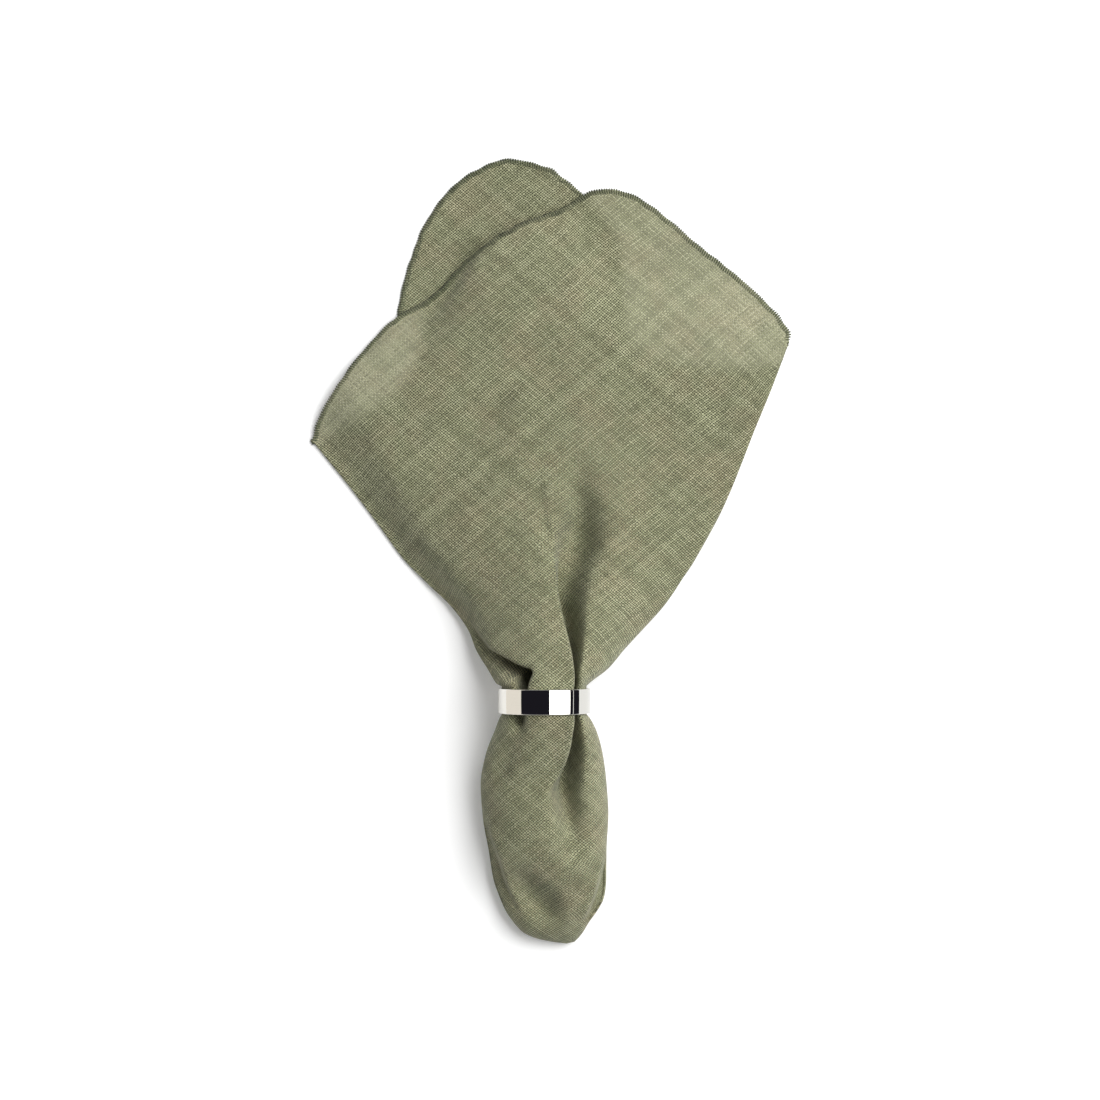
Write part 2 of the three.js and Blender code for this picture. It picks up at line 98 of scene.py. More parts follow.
# Open edges of the inner layers: the middle and half width of their rise, and how
# far they stop short of the front's right end.
RISE_MIDDLE = 0.45
RISE_HALF = 0.21
SHORT_X = 0.8
SHORT_Y = 1.2
# The back corner holds up the front between these places, with soft borders.
CORNER_LEFT = -84
CORNER_LEFT_RAMP = 16
CORNER_RIGHT = 56
CORNER_RIGHT_RAMP = 28


def rows(names, *values):
    """A table: one dictionary for each row, its columns named."""
    return [dict(zip(names.split(), row)) for row in values]


# One row for each section across the tail and the ring, from the tip upwards.
# left, right: its widest points. low, high: its bottom and top in the middle.
# waist: height of the widest points. tuck: how far the inner layers reach across.
TAIL = rows(
    "y left right low high waist tuck",
    (-170.4, 1.8, 10.6, 2.4, 6.2, 4.2, 0),
    (-169, -4.8, 12, 1.2, 8.6, 4.6, 0),
    (-166.4, -11, 14.2, 0.7, 11.2, 5, 0),
    (-161.8, -15.4, 16.9, 0.5, 14.2, 5.6, 0),
    (-156.6, -18.9, 20.6, 0.5, 17.2, 6.4, 0),
    (-150.6, -21.5, 23.6, 0.5, 20, 7.2, 0.15),
    (-143.2, -24.1, 24.4, 0.5, 22.6, 8, 0.4),
    (-130, -26.3, 24.5, 0.5, 25.6, 9, 0.75),
    (-114.8, -28.8, 25.3, 0.5, 28, 10, 0.95),
    (-101.6, -29.6, 24.5, 0.6, 30, 11.6, 1),
    (-88.4, -27.3, 22.8, 0.9, 32.8, 14, 1),
    (-78.4, -23.5, 20.1, 1.4, 35.6, 17, 1),
    (-72.4, -21.2, 17, 2, 37.4, 19.4, 1),
    (-70.7, -20.2, 15.6, 2.1, 37.9, 20, 1),
    (-59.3, -20.2, 15.6, 2.1, 37.9, 20, 1),
)

# One row for each section of the fan, from the ring to the open edge.
# lx, ly and rx, ry: the folded edges on the left and on the right.
# round: 1 a round bundle, 0 a flat stack. reach: how far it is drawn to the open edge.
FAN = rows(
    "lx ly rx ry low high waist round reach",
    (-22.6, -57.7, 17.5, -57, 1.9, 37.2, 18.6, 1, 0),
    (-25.8, -52, 25.4, -51.2, 1.5, 35.6, 15.5, 0.88, 0),
    (-31.4, -43.5, 32.6, -43.1, 1.1, 33, 12.5, 0.68, 0.02),
    (-35.4, -35, 40.5, -34.9, 0.9, 30, 10, 0.46, 0.05),
    (-43.7, -24.1, 50.5, -24.1, 0.7, 26.8, 8, 0.24, 0.09),
    (-53.3, -15, 58, -13.3, 0.6, 23.8, 7, 0.1, 0.15),
    (-63.4, -4.6, 64.2, -2.4, 0.5, 21, 6, 0, 0.23),
    (-73, 8.5, 71.3, 10.7, 0.5, 18.4, 6, 0, 0.32),
    (-82.6, 21.6, 77.8, 23.8, 0.5, 16.4, 6, 0, 0.43),
    (-89.2, 30.3, 83.5, 38.1, 0.5, 15, 6, 0, 0.56),
    (-96.1, 39, 89.6, 54.3, 0.5, 14, 6, 0, 0.7),
    (-100.9, 45.1, 96.1, 70.4, 0.5, 13.2, 6, 0, 0.85),
    (-103.1, 47.7, 103.5, 90.5, 0.5, 12.6, 6, 0, 1),
)

# One row for each layer, from the top down.
# share: height in the bundle. start: where it starts beside the left edge.
# rise: how far its open edge rises in the middle. ribs: points across it.
# meet: how near its right end lies to the right end of the top layer.
# first, final: how far it reaches left and right in the bundle, as shares of half its width.
LAYERS = rows(
    "share start rise ribs meet first final",
    (1, 0, 0, 136, 1, -0.97, 1),
    (0.46, 0.15, 13, 14, 0.88, -0.8, 0.72),
    (0.25, 0.15, 21, 14, 0.7, -0.8, 0.72),
    (0.03, 0.15, 29, 14, 0.5, -0.8, 0.72),
    (-0.19, 0.15, 37, 14, 0.3, -0.8, 0.72),
    (-0.41, 0.15, 44, 14, 0.15, -0.8, 0.72),
    (-0.64, 0.15, 50, 14, 0, -0.8, 0.72),
    (-1, 0, 0, 50, 0, -0.8, 0.8),
)

# Open edge of the top layer, from the left fold over the front corner to the right.
FRONT_EDGE = rows(
    "at x y",
    (0, -103.1, 47.7),
    (0.023, -101.4, 53.8),
    (0.068, -95.7, 65.2),
    (0.111, -89.2, 75.2),
    (0.165, -80, 87.4),
    (0.233, -66.5, 100.9),
    (0.292, -52.1, 108.8),
    (0.38, -34.7, 126.2),
    (0.465, -15, 139.7),
    (0.544, 5.5, 148),
    (0.601, 19.4, 155.9),
    (0.623, 25.5, 156.7),
    (0.648, 32.5, 155.4),
    (0.684, 41.6, 151.1),
    (0.784, 63.4, 133.6),
    (0.899, 88.3, 113.1),
    (0.97, 101.4, 98.3),
    (0.989, 104, 93.5),
    (1, 103.5, 90.5),
)

# Open edge of the lowest layer: level at the sides, with the round back corner.
BACK_EDGE = rows(
    "at x y",
    (0, -103.1, 47.7),
    (0.06, -89.2, 53.4),
    (0.12, -75, 60),
    (0.17, -66.5, 69),
    (0.21, -64.8, 84),
    (0.25, -66.1, 100.1),
    (0.3, -63.6, 114.5),
    (0.35, -59.6, 128),
    (0.4, -54.2, 141.2),
    (0.45, -45.6, 154),
    (0.5, -33.6, 164),
    (0.55, -18.6, 169.7),
    (0.6, -2.6, 166.8),
    (0.65, 11.8, 156.8),
    (0.7, 22.9, 145.8),
    (0.75, 29.9, 128.4),
    (0.8, 32, 108.8),
    (0.85, 36.8, 90),
    (0.9, 56.9, 81.8),
    (0.95, 78.5, 79.6),
    (1, 98, 76.5),
)

# Level of the open edges of the layers in between, before their rise.
INNER_EDGE = rows(
    "at x y",
    (0, -103.1, 47.7),
    (0.1, -84, 55.4),
    (0.2, -63, 63.9),
    (0.35, -34.7, 73.9),
    (0.5, -4.1, 80),
    (0.65, 26.4, 83.9),
    (0.8, 59.1, 82.2),
    (0.93, 85.2, 79.1),
    (1, 98, 81),
)

# The crease of the main pleat and the crease of the pocket left of the ring, along
# which the ribs of the top layer lie close together.
PLEAT_LINE = rows(
    "y x",
    (-172, 6),
    (-139, 9),
    (-121, 9.2),
    (-108, 4),
    (-96, 4.2),
    (-85, 7.2),
    (-75, 9),
    (-60, 9),
    (-48, 8),
    (-40, 5.9),
    (-27, 3.4),
    (-16, 1.8),
    (-5, 4),
    (8, 12),
    (35, 21.6),
    (150, 25),
)
POCKET_LINE = rows(
    "y x",
    (-172, 1),
    (-163, -10.5),
    (-155, -15.6),
    (-146, -18.6),
    (-136, -21.5),
    (-127, -24),
    (-117, -25),
    (-100, -24),
    (-85, -17),
    (-70, -10.6),
    (-61, -8.6),
    (-56.4, -8.2),
    (-53, -8.4),
    (-50, -11.4),
    (-46.2, -18.6),
    (-43, -25.6),
    (-37, -30.6),
    (-20, -42),
    (0, -60),
    (30, -80),
    (150, -90),
)


def pressed_fold(*points, lip=0, crease=False):
    """A fold pressed into the cloth from above: a line of points with its depth there.

    left, right: how far it spreads to either side when walked from first to last.
    lip: how far the cloth on the steep side leans out over the fold.
    crease: it runs on along the crease of a fold with a lip."""
    line = rows("x y depth left right", *points)
    return {"line": line, "lip": lip, "crease": crease or lip > 0}


FOLDS = {
    "deep pleat up the middle of the fan": pressed_fold(
        (9.3, -67, 7, 1.3, 3.4),
        (9.2, -59, 12, 1.3, 4),
        (8.8, -53.6, 15, 1.3, 4.6),
        (7.6, -44, 18, 1.4, 8.2),
        (5.8, -36, 21, 1.5, 11),
        (3.9, -26.6, 22, 1.8, 13.6),
        (2.6, -16, 20, 2.2, 15.5),
        (3.4, -6, 13, 3, 16.5),
        (5.6, 4, 5, 4, 16),
        (8.4, 12, 0, 4, 14),
        lip=4.2,
    ),
    "soft end of the same pleat": pressed_fold(
        (8.4, -22, 0, 6, 7.5),
        (9.6, -10, 8, 6.5, 8),
        (11.6, -1, 14, 7, 8.5),
        (12.8, 8, 15, 7, 8.5),
        (12.8, 17, 9, 6.5, 8),
        (11.8, 28, 3.6, 6, 8),
        (10.4, 44, 0, 6, 7),
    ),
    "faint crease left of the pleat": pressed_fold(
        (-5.4, 32, 0, 1.6, 3.6),
        (-4, 26, 1.2, 1.6, 3.6),
        (-1.6, 10, 1.7, 1.6, 3.6),
        (0, -6, 1.4, 1.6, 3.6),
        (1.6, -16, 0, 1.6, 3.6),
    ),
    "pocket on the left of the ring": pressed_fold(
        (-12, -76, 0, 3, 1.2),
        (-10.2, -70, 8, 5, 1.2),
        (-8, -61, 18, 8, 1.2),
        (-7.3, -56.4, 23, 9.5, 1.3),
        (-5.6, -53, 24, 10.5, 1.3),
        (-6.6, -50.2, 22, 11, 1.3),
        (-11.6, -48.7, 18, 11, 1.3),
        (-17.6, -46.2, 13, 10, 1.3),
        (-22, -44.8, 10, 9, 1.3),
        (-25.6, -43, 7.5, 8, 1.2),
        (-30.4, -37.2, 4.4, 8, 1),
        (-34.6, -31, 0, 7, 1),
        lip=3.4,
    ),
    "soft trough across the left half of the fan": pressed_fold(
        (-56, 33, 0, 6, 6),
        (-47, 41, 2.4, 6, 6),
        (-33.5, 52.7, 4, 6, 6),
        (-23.5, 61, 3, 6, 6),
        (-14, 68, 0, 6, 6),
    ),
    "soft hollow on the right of the fan": pressed_fold(
        (78, 74, 0, 7, 7),
        (73, 60, 1.6, 7, 7),
        (69, 48, 0, 7, 7),
    ),
    "pleat down the front of the tail": pressed_fold(
        (9.6, -67, 7, 3.4, 1.3),
        (9.5, -72, 10, 4.6, 1.3),
        (8.6, -78, 13, 7, 1.4),
        (7.8, -84, 15.5, 9, 1.4),
        (6.4, -90, 15.5, 10.5, 1.6),
        (4.6, -96, 12, 11.5, 2),
        (3.2, -102, 6, 12, 3),
        (2.4, -109, 0, 12, 4),
        lip=3.6,
    ),
    "soft lower end of the tail pleat": pressed_fold(
        (7.6, -86, 0, 6.5, 3.6),
        (6.4, -92, 4, 6.5, 3.6),
        (5.4, -99, 9, 6.5, 3.6),
        (5.6, -105, 11.5, 6.5, 3.8),
        (6.4, -110, 11, 6.5, 4),
        (7.8, -117, 8.5, 6, 4.4),
        (9.4, -125, 4.5, 6, 5),
        (10.6, -134, 0, 6, 5),
        crease=True,
    ),
    "dimple under the ring": pressed_fold(
        (-13.6, -71, 5, 2.4, 2.4),
        (-12.6, -74.5, 5.5, 2.6, 2.6),
        (-11.6, -79, 0, 2.6, 2.6),
    ),
    "soft fold down and left across the tail": pressed_fold(
        (7.4, -76, 0, 4.5, 6),
        (5.4, -86, 1.8, 4.5, 6),
        (0, -95, 3.4, 4.5, 6),
        (-8, -102, 3.2, 4.5, 6),
        (-18, -107, 0, 4.5, 6),
    ),
    "second soft fold on the left of the tail": pressed_fold(
        (-10, -78, 0, 4, 4.5),
        (-16.5, -86, 2.4, 4, 4.5),
        (-20.5, -95, 2.4, 4, 4.5),
        (-21, -105, 0, 4, 4.5),
    ),
    "lower ledge beside the left edge of the tail": pressed_fold(
        (-28.8, -116, 0, 1.3, 9),
        (-27, -121, 3, 1.4, 9),
        (-24.4, -127.5, 5, 1.4, 10),
        (-21.8, -135, 5.4, 1.5, 11),
        (-19.6, -143, 4.6, 1.5, 11),
        (-17, -150, 3, 1.7, 10),
        (-14.6, -156, 1, 2, 8),
        (-12.5, -160, 0, 2, 6),
        lip=1.2,
    ),
    "narrow ledge on the right of the tail": pressed_fold(
        (25, -132, 0, 6, 1),
        (22.8, -139.5, 3.4, 6, 1),
        (20.2, -148.8, 4.4, 7, 1.1),
        (17.2, -157, 3.4, 7, 1.2),
        (15, -161, 0, 6, 1.2),
        lip=0.8,
    ),
    "hollow above the tip of the tail": pressed_fold(
        (-16, -136, 0, 6.5, 6.5),
        (-11.5, -143, 4.8, 6.5, 6.5),
        (-6, -150, 8, 6.5, 6.5),
        (0, -155.5, 7, 6, 6.5),
        (7, -159, 0, 5, 6),
    ),
    "open edge of the front arching over the back corner": pressed_fold(
        (-66, 103, 0, 22, 22),
        (-36, 125, -4, 22, 22),
        (-14, 139, -2.4, 20, 20),
        (8, 149, 0, 16, 16),
    ),
}

# The folds that run along the two creases of the top layer.
CREASED = [fold for fold in FOLDS.values() if fold["crease"]]

# Edge of the cloth that lies under the front, from left to right, and how
# wide the soft border is where it shows through. Over it the front's weave gaps
# get painted shade, beside it the table's painted light.
BACKING_EDGE = rows(
    "x y border",
    (-112, 40, 9),
    (-96, 50, 9),
    (-78, 60, 9),
    (-63, 71.7, 9),
    (-56, 87, 9),
    (-56, 150, 9),
    (-40, 190, 9),
    (8, 190, 6),
    (18, 153, 6),
    (24, 145, 6),
    (31, 132, 5),
    (32, 116, 5),
    (33, 95, 7),
    (37, 87, 9),
    (48, 82, 11),
    (65, 80, 11),
    (87, 79, 9),
    (112, 82, 7),
)


def mix(a, b, t):
    """From a to b by the share t."""
    return a + (b - a) * t


def ease(value):
    """Soft step: 0 up to 0, 1 from 1 on."""
    t = np.clip(value, 0, 1)
    return t * t * (3 - 2 * t)


def read(table, key, place, column):
    """Smooth curve through a column of a table that never overshoots its rows."""
    at = np.array([row[key] for row in table], float)
    value = np.array([row[column] for row in table], float)
    slope = np.diff(value) / np.diff(at)
    before, after = slope[:-1], slope[1:]
    same = before * after > 0
    total = np.where(same, before + after, 1.0)
    middle = np.where(same, 2 * before * after / total, 0.0)
    tangent = np.concatenate(([slope[0]], middle, [slope[-1]]))
    i = np.clip(np.searchsorted(at, place, side="right") - 1, 0, len(at) - 2)
    span = at[i + 1] - at[i]
    t = np.clip((place - at[i]) / span, 0, 1)
    t2 = t * t
    t3 = t2 * t
    return (
        (2 * t3 - 3 * t2 + 1) * value[i]
        + (t3 - 2 * t2 + t) * span * tangent[i]
        + (3 * t2 - 2 * t3) * value[i + 1]
        + (t3 - t2) * span * tangent[i + 1]
    )


def all_sections():
    """Sections of tail and fan in one list, numbered from the tip."""
    sections = []
    for row in TAIL:
        level = {"lx": row["left"], "ly": row["y"], "rx": row["right"], "ry": row["y"]}
        sections.append({**row, **level, "round": 1, "reach": 0})
    for row in FAN:
        sections.append({**row, "tuck": 1})
    return [{**row, "at": at} for at, row in enumerate(sections)]


SECTIONS = all_sections()
END = SECTIONS[-1]
COLUMNS = ("lx", "ly", "rx", "ry", "low", "high", "waist", "tuck", "round", "reach")


def section(at):
    """The section at any place between two rows of the tables."""
    return {column: float(read(SECTIONS, "at", at, column)) for column in COLUMNS}


def beside(line, x, y):
    """Signed distance from a line of points, right side positive, and its values there."""
    best = np.full(np.shape(x), np.inf)
    signed = np.zeros(np.shape(x))
    names = [name for name in line[0] if name not in ("x", "y")]
    there = {name: np.zeros(np.shape(x)) for name in names}
    for a, b in zip(line, line[1:]):
        ex, ey = b["x"] - a["x"], b["y"] - a["y"]
        rx, ry = x - a["x"], y - a["y"]
        t = np.clip((rx * ex + ry * ey) / (ex * ex + ey * ey), 0, 1)
        far = np.hypot(rx - t * ex, ry - t * ey)
        nearer = far < best
        side = np.where(ex * ry - ey * rx > 0, -1.0, 1.0)
        best = np.where(nearer, far, best)
        signed = np.where(nearer, side * far, signed)
        for name in names:
            there[name] = np.where(nearer, mix(a[name], b[name], t), there[name])
    return signed, there


def pressed(x, y, folds):
    """Depth of the pressed folds at a place."""
    total = np.zeros(np.shape(x))
    for fold in folds:
        far, there = beside(fold["line"], x, y)
        wide = np.where(far < 0, there["left"], there["right"])
        narrow = np.minimum(there["left"], there["right"])
        shape = np.exp(-((far / wide) ** 2))
        if fold["lip"] > 0:
            shape = np.where(wide > narrow, 1 - ease(np.abs(far) / wide), shape)
        total += there["depth"] * shape
    return total


def lean(x, y):
    """How far the top layer leans out over the steep sides of the folds."""
    move_x = np.zeros(np.shape(x))
    move_y = np.zeros(np.shape(x))
    step = 0.05
    for fold in FOLDS.values():
        if fold["lip"] == 0:
            continue
        line = fold["line"]
        steep = -1 if line[1]["left"] < line[1]["right"] else 1
        deepest = max(point["depth"] for point in line)
        far, there = beside(line, x, y)
        far_x, _ = beside(line, x + step, y)
        far_y, _ = beside(line, x, y + step)
        away = far * steep
        narrow = np.minimum(there["left"], there["right"])
        near = np.exp(-(((away - LIP_PLACE * narrow) / (LIP_SPREAD * narrow)) ** 2))
        amount = fold["lip"] * ease(1.3 * there["depth"] / deepest) * near * (away > 0)
        move_x -= steep * amount * np.clip((far_x - far) / step, -1, 1)
        move_y -= steep * amount * np.clip((far_y - far) / step, -1, 1)
    return move_x, move_y


# Share by which less of the table's painted light fills the front's weave gaps near its middle on the
# right.
LESS_PAINTED_TABLE_LIGHT = 0.42


def painted_gap_shade(x, y):
    """Painted shade in the front's weave gaps: 1 where more cloth lies under it, 0 where it is single
    and the gaps get the table's painted light, softly bordered.
    """
    far, there = beside(BACKING_EDGE, x, y)
    single = 1 - ease(far / there["border"] + 0.5)
    # On the right less of the table's painted light fills the gaps near the middle of the front.
    middle = ease(x / 20) * (1 - ease((x - 48) / 44))
    return 1 - single * (1 - LESS_PAINTED_TABLE_LIGHT * middle)


def bell(u):
    """Rise of the open edges of the inner layers at a share of the width."""
    s = np.clip((u - RISE_MIDDLE) / RISE_HALF, -1, 1)
    return (1 - s * s) ** 2


def open_edge(index, u):
    """Where the open edge of a layer lies."""
    if index == 0:
        return read(FRONT_EDGE, "at", u, "x"), read(FRONT_EDGE, "at", u, "y")
    if index == len(LAYERS) - 1:
        return read(BACK_EDGE, "at", u, "x"), read(BACK_EDGE, "at", u, "y")
    x = read(INNER_EDGE, "at", u, "x")
    y = read(INNER_EDGE, "at", u, "y") + LAYERS[index]["rise"] * bell(u)
    side = ease((u - 0.85) / 0.15)
    meet = LAYERS[index]["meet"]
    end_x = mix(BACK_EDGE[-1]["x"], FRONT_EDGE[-1]["x"] - SHORT_X, meet)
    end_y = mix(BACK_EDGE[-1]["y"], FRONT_EDGE[-1]["y"] - SHORT_Y, meet)
    return mix(x, end_x, side), mix(y, end_y, side)


def across(index, u):
    """Is a lower layer under this share of the width, 1 yes and 0 no, softly bordered."""
    start = LAYERS[index]["start"]
    if start > 0:
        return ease((u - start + 0.15) / 0.13)
    return np.ones(np.shape(u))


def along(index, x, y):
    """Does a lower layer reach up the fan to this place, 1 yes and 0 no, softly ended."""
    left, right = FRONT_EDGE[0]["x"], FRONT_EDGE[-1]["x"]
    u = (x - left) / (right - left)
    level = read(INNER_EDGE, "at", u, "y")
    if index == len(LAYERS) - 1:
        flat = 1 - ease((y - level - SUPPORT_FROM) / SUPPORT_RAMP)
        corner = ease((x - CORNER_LEFT) / CORNER_LEFT_RAMP)
        corner = corner * ease((CORNER_RIGHT - x) / CORNER_RIGHT_RAMP)
        return np.maximum(flat, corner)
    rise = LAYERS[index]["rise"] * bell(u)
    return 1 - ease((y - level - rise - SUPPORT_FROM) / SUPPORT_RAMP)


def flatness(row):
    """A bundle that lies low is flatter underneath."""
    return mix(4, 2, min(1, max(0, (row["waist"] - 10) / 10)))


def reached(index, row):
    """How far a layer reaches left and right, as shares of half the section's width."""
    flat = 1 - 2 * EDGE_TURN / (row["rx"] - row["lx"])
    layer = LAYERS[index]
    return mix(-flat, layer["first"], row["round"]), mix(flat, layer["final"], row["round"])


def limited(depth, room):
    """Depth of a fold that rounds off softly where the room under the cloth runs out."""
    deep = np.maximum(depth, 0)
    return deep * room / np.maximum((deep**4 + room**4) ** 0.25, 0.001)


def place(index, u, row):
    """Points of the cloth at shares of the width of one layer in one section.

    Gives them with the folds pressed in, calm as they were before, how far cloth
    backs them, and their height with only the creases pressed in."""
    last = len(LAYERS) - 1
    centre = 0.5 * (row["lx"] + row["rx"])
    first, final = reached(index, row)
    x = centre + mix(first, final, u) * 0.5 * (row["rx"] - row["lx"])
    y = mix(row["ly"], row["ry"], u)
    if row["reach"] > 0:
        edge_x, edge_y = open_edge(index, u)
        x = x + row["reach"] * (edge_x - mix(END["lx"] + EDGE_TURN, END["rx"] - EDGE_TURN, u))
        y = y + row["reach"] * (edge_y - mix(END["ly"], END["ry"], u))
    # Round bundle.
    low, high, waist = row["low"], row["high"], row["waist"]
    s = mix(LAYERS[index]["first"], LAYERS[index]["final"], u)
    top = waist + (high - waist) * np.sqrt(1 - s * s)
    bottom = waist - (waist - low) * np.sqrt(1 - np.abs(s) ** flatness(row))
    middle = mix(0.5 * (high + low), waist, INNER_BEND * s * s)
    half = 0.5 * (high - low) * (1 - INNER_CLOSE * s * s)
    bundle = middle + LAYERS[index]["share"] * half
    if index == 0:
        bundle = top
    if index == last:
        bundle = bottom
    # Flat stack.
    below = np.zeros(np.shape(u))
    total = np.zeros(np.shape(u))
    for lower in range(1, len(LAYERS)):
        there = across(lower, u)
        if row["reach"] > OPEN_FROM:
            there = there * along(lower, x, y)
        total += there
        if lower > index:
            below += there
    lens = np.maximum(0, 1 - (2 * u - 1) ** 2) ** AIR_POWER
    air = max(0, high - low - last * PITCH) * lens
    share = below / np.maximum(total, 0.001) * ease(total / AIR_LAYERS)
    share = share * (1 if index == 0 else INNER_AIR)
    stack = low + PITCH * below + air * share
    z = mix(stack, bundle, row["round"])
    height = mix(PITCH * total + air, top - bottom, row["round"])
    level = np.clip((z - bottom) / np.maximum(top - bottom, 0.01), 0, 1)
    part = mix(share, level, row["round"])
    bundled = 1 + (last - 1) * ease((u - CROWD_FROM) / CROWD_RAMP)
    crowd = mix(total, bundled, row["round"])
    room = np.maximum(0, height - PRESSED_PITCH * crowd)
    depth = np.minimum(pressed(x, y, FOLDS.values()), MOST_PRESSED)
    press = np.where(depth > 0, limited(depth, room), depth)
    creased = limited(np.minimum(pressed(x, y, CREASED), MOST_PRESSED), room)
    # Every layer below the front gets the full painted shade in its weave gaps, the lowest layer too.
    gap_shade = np.ones(np.shape(u))
    if index == 0:
        gap_shade = painted_gap_shade(x, y)
        move_x, move_y = lean(x, y)
        x = x + move_x
        y = y + move_y
    calm = np.stack([x, y, z], axis=-1)
    return np.stack([x, y, z - press * part], axis=-1), calm, gap_shade, z - creased * part


def girth(z, row):
    """Half width of the round bundle at a height, as a share of its full half width."""
    above = np.clip((z - row["waist"]) / (row["high"] - row["waist"]), 0, 1)
    under = np.clip((row["waist"] - z) / (row["waist"] - row["low"]), 0, 1)
    over_side = np.sqrt(1 - above**2)
    under_side = (1 - under**2) ** (1 / flatness(row))
    return np.where(z > row["waist"], over_side, under_side)


def crowded(t, strength):
    """Even steps from 0 to 1 drawn together at both ends."""
    return t - strength * np.sin(2 * np.pi * t) / (2 * np.pi)


# The creases that draw ribs together: their lines, where about they lie across the
# width, and the least and most share of it that they may take.
RIB_LINES = rows("line about least most", (POCKET_LINE, 0.2, 0.06, 0.4), (PLEAT_LINE, 0.6, 0.5, 0.93))


def top_shares(row):
    """Shares of the width for the ribs of the top layer, close together at the creases."""
    last_rib = LAYERS[0]["ribs"] - 1
    centre = 0.5 * (row["lx"] + row["rx"])
    half = 0.5 * (row["rx"] - row["lx"])
    first, final = reached(0, row)
    loose = float(ease(row["reach"] / 0.5))
    at_ribs = (POCKET_RIBS, POCKET_RIBS + PLEAT_RIBS)
    shares = []
    for crease, at_rib in zip(RIB_LINES, at_ribs):
        x = read(crease["line"], "y", mix(row["ly"], row["ry"], crease["about"]), "x")
        share = float(((x - centre) / half - first) / (final - first))
        share = min(crease["most"], max(crease["least"], share))
        shares.append(mix(share, at_rib / last_rib, loose))
    pocket, pleat = shares
    strength = RIB_CROWDING * (1 - loose)
    rest = last_rib + 1 - at_ribs[1]
    parts = [
        pocket * crowded(np.arange(POCKET_RIBS) / POCKET_RIBS, 0.5 * strength),
        mix(pocket, pleat, crowded(np.arange(PLEAT_RIBS) / PLEAT_RIBS, strength)),
        mix(pleat, 1, crowded(np.arange(rest) / (rest - 1), strength)),
    ]
    return np.concatenate(parts)


def joined(lines, row, start):
    """The layers of a section joined by their turns at both sides into one loop."""
    last = len(lines) - 1
    centre = 0.5 * (row["lx"] + row["rx"])
    half = 0.5 * (row["rx"] - row["lx"])
    inner = LAYERS[1]["final"]
    turn = np.pi * np.arange(1, FOLD_STEPS + 1) / (FOLD_STEPS + 1)
    share = 0.5 - 0.5 * np.cos(turn)
    loop = []
    for i, line in enumerate(lines[:-1]):
        loop.append(line)
        a, b = line[-1], lines[i + 1][0]
        side = 1 if i % 2 == 0 else -1
        bulge = 0.5 * abs(a[2] - b[2]) * (1 - start)
        points = mix(a, b, share[:, None])
        if i == 0:
            # The front wraps the right side of the bundle and turns back up inside it.
            bulge = bulge * (1 - row["round"])
            points[:, 2] -= HAIRPIN * row["round"] * (1 - start) * np.sin(turn) * (1 - share)
        points[:, 0] += side * np.sin(turn) * bulge
        wall = centre + half * np.maximum(inner, girth(points[:, 2], row))
        points[:, 0] = mix(points[:, 0], wall, start)
        loop.append(points)
    loop.append(lines[last])
    # The left side wraps round from the lowest layer to the top one.
    a, b = lines[last][-1], lines[0][0]
    turn = np.pi * np.arange(1, WRAP_STEPS + 1) / (WRAP_STEPS + 1)
    points = mix(a, b, (0.5 - 0.5 * np.cos(turn))[:, None])
    thin = 0.5 * (b[2] - a[2]) * np.sin(turn)
    full = points[:, 0] - centre + half * girth(points[:, 2], row)
    points[:, 0] -= mix(thin, np.maximum(0, full), row["round"])
    loop.append(points)
    return np.concatenate(loop)


def section_loop(row):
    """One closed loop round a section.

    Gives its points, the same calm, what backs them for the painted shade in the weave gaps, and the
    top layer's creased height."""
    last = len(LAYERS) - 1
    centre = 0.5 * (row["lx"] + row["rx"])
    half = 0.5 * (row["rx"] - row["lx"])
    start = 1 - min(1, max(0, row["tuck"] / TUCK_START))
    brink = [place(i, np.array([1.0]), row)[0][0][2] for i in (0, last)]
    creased = np.zeros(0)
    lines = []
    calm_lines = []
    gap_shade = []
    for i, layer in enumerate(LAYERS):
        count = layer["ribs"]
        inner = 0 < i < last
        t = np.arange(count) / (count - 1)
        v = t if i % 2 == 0 else 1 - t
        if i == 0:
            u = top_shares(row)
        elif inner:
            u = mix(mix(1, layer["start"], row["tuck"]), 1, 1 - (1 - v) ** 1.5)
        else:
            u = v
        points, calm, gap_shaded, dip = place(i, u, row)
        if i == 0:
            creased = dip
        if inner and start > 0:
            down = (i - 1 + (np.arange(count) + 1) / (count + 1)) / (last - 1)
            z = mix(points[:, 2], mix(brink[0], brink[1], down), start)
            wall = centre + half * np.maximum(layer["final"], girth(z, row))
            for kind in (points, calm):
                kind[:, 2] = z
                kind[:, 0] = mix(kind[:, 0], wall, start)
        lines.append(points)
        calm_lines.append(calm)
        gap_shade.append(gap_shaded)
        gap_shade.append(np.ones(WRAP_STEPS if i == last else FOLD_STEPS))
    loop = joined(lines, row, start)
    return loop, joined(calm_lines, row, start), np.concatenate(gap_shade), creased


# How far up the fan its sides lag behind the open edge, and the places along Y near
# which the sections lie closer together.
EDGE_RISE = 85
CLOSE_SECTIONS = rows("y spread", (-52, 22), (-168, 6))


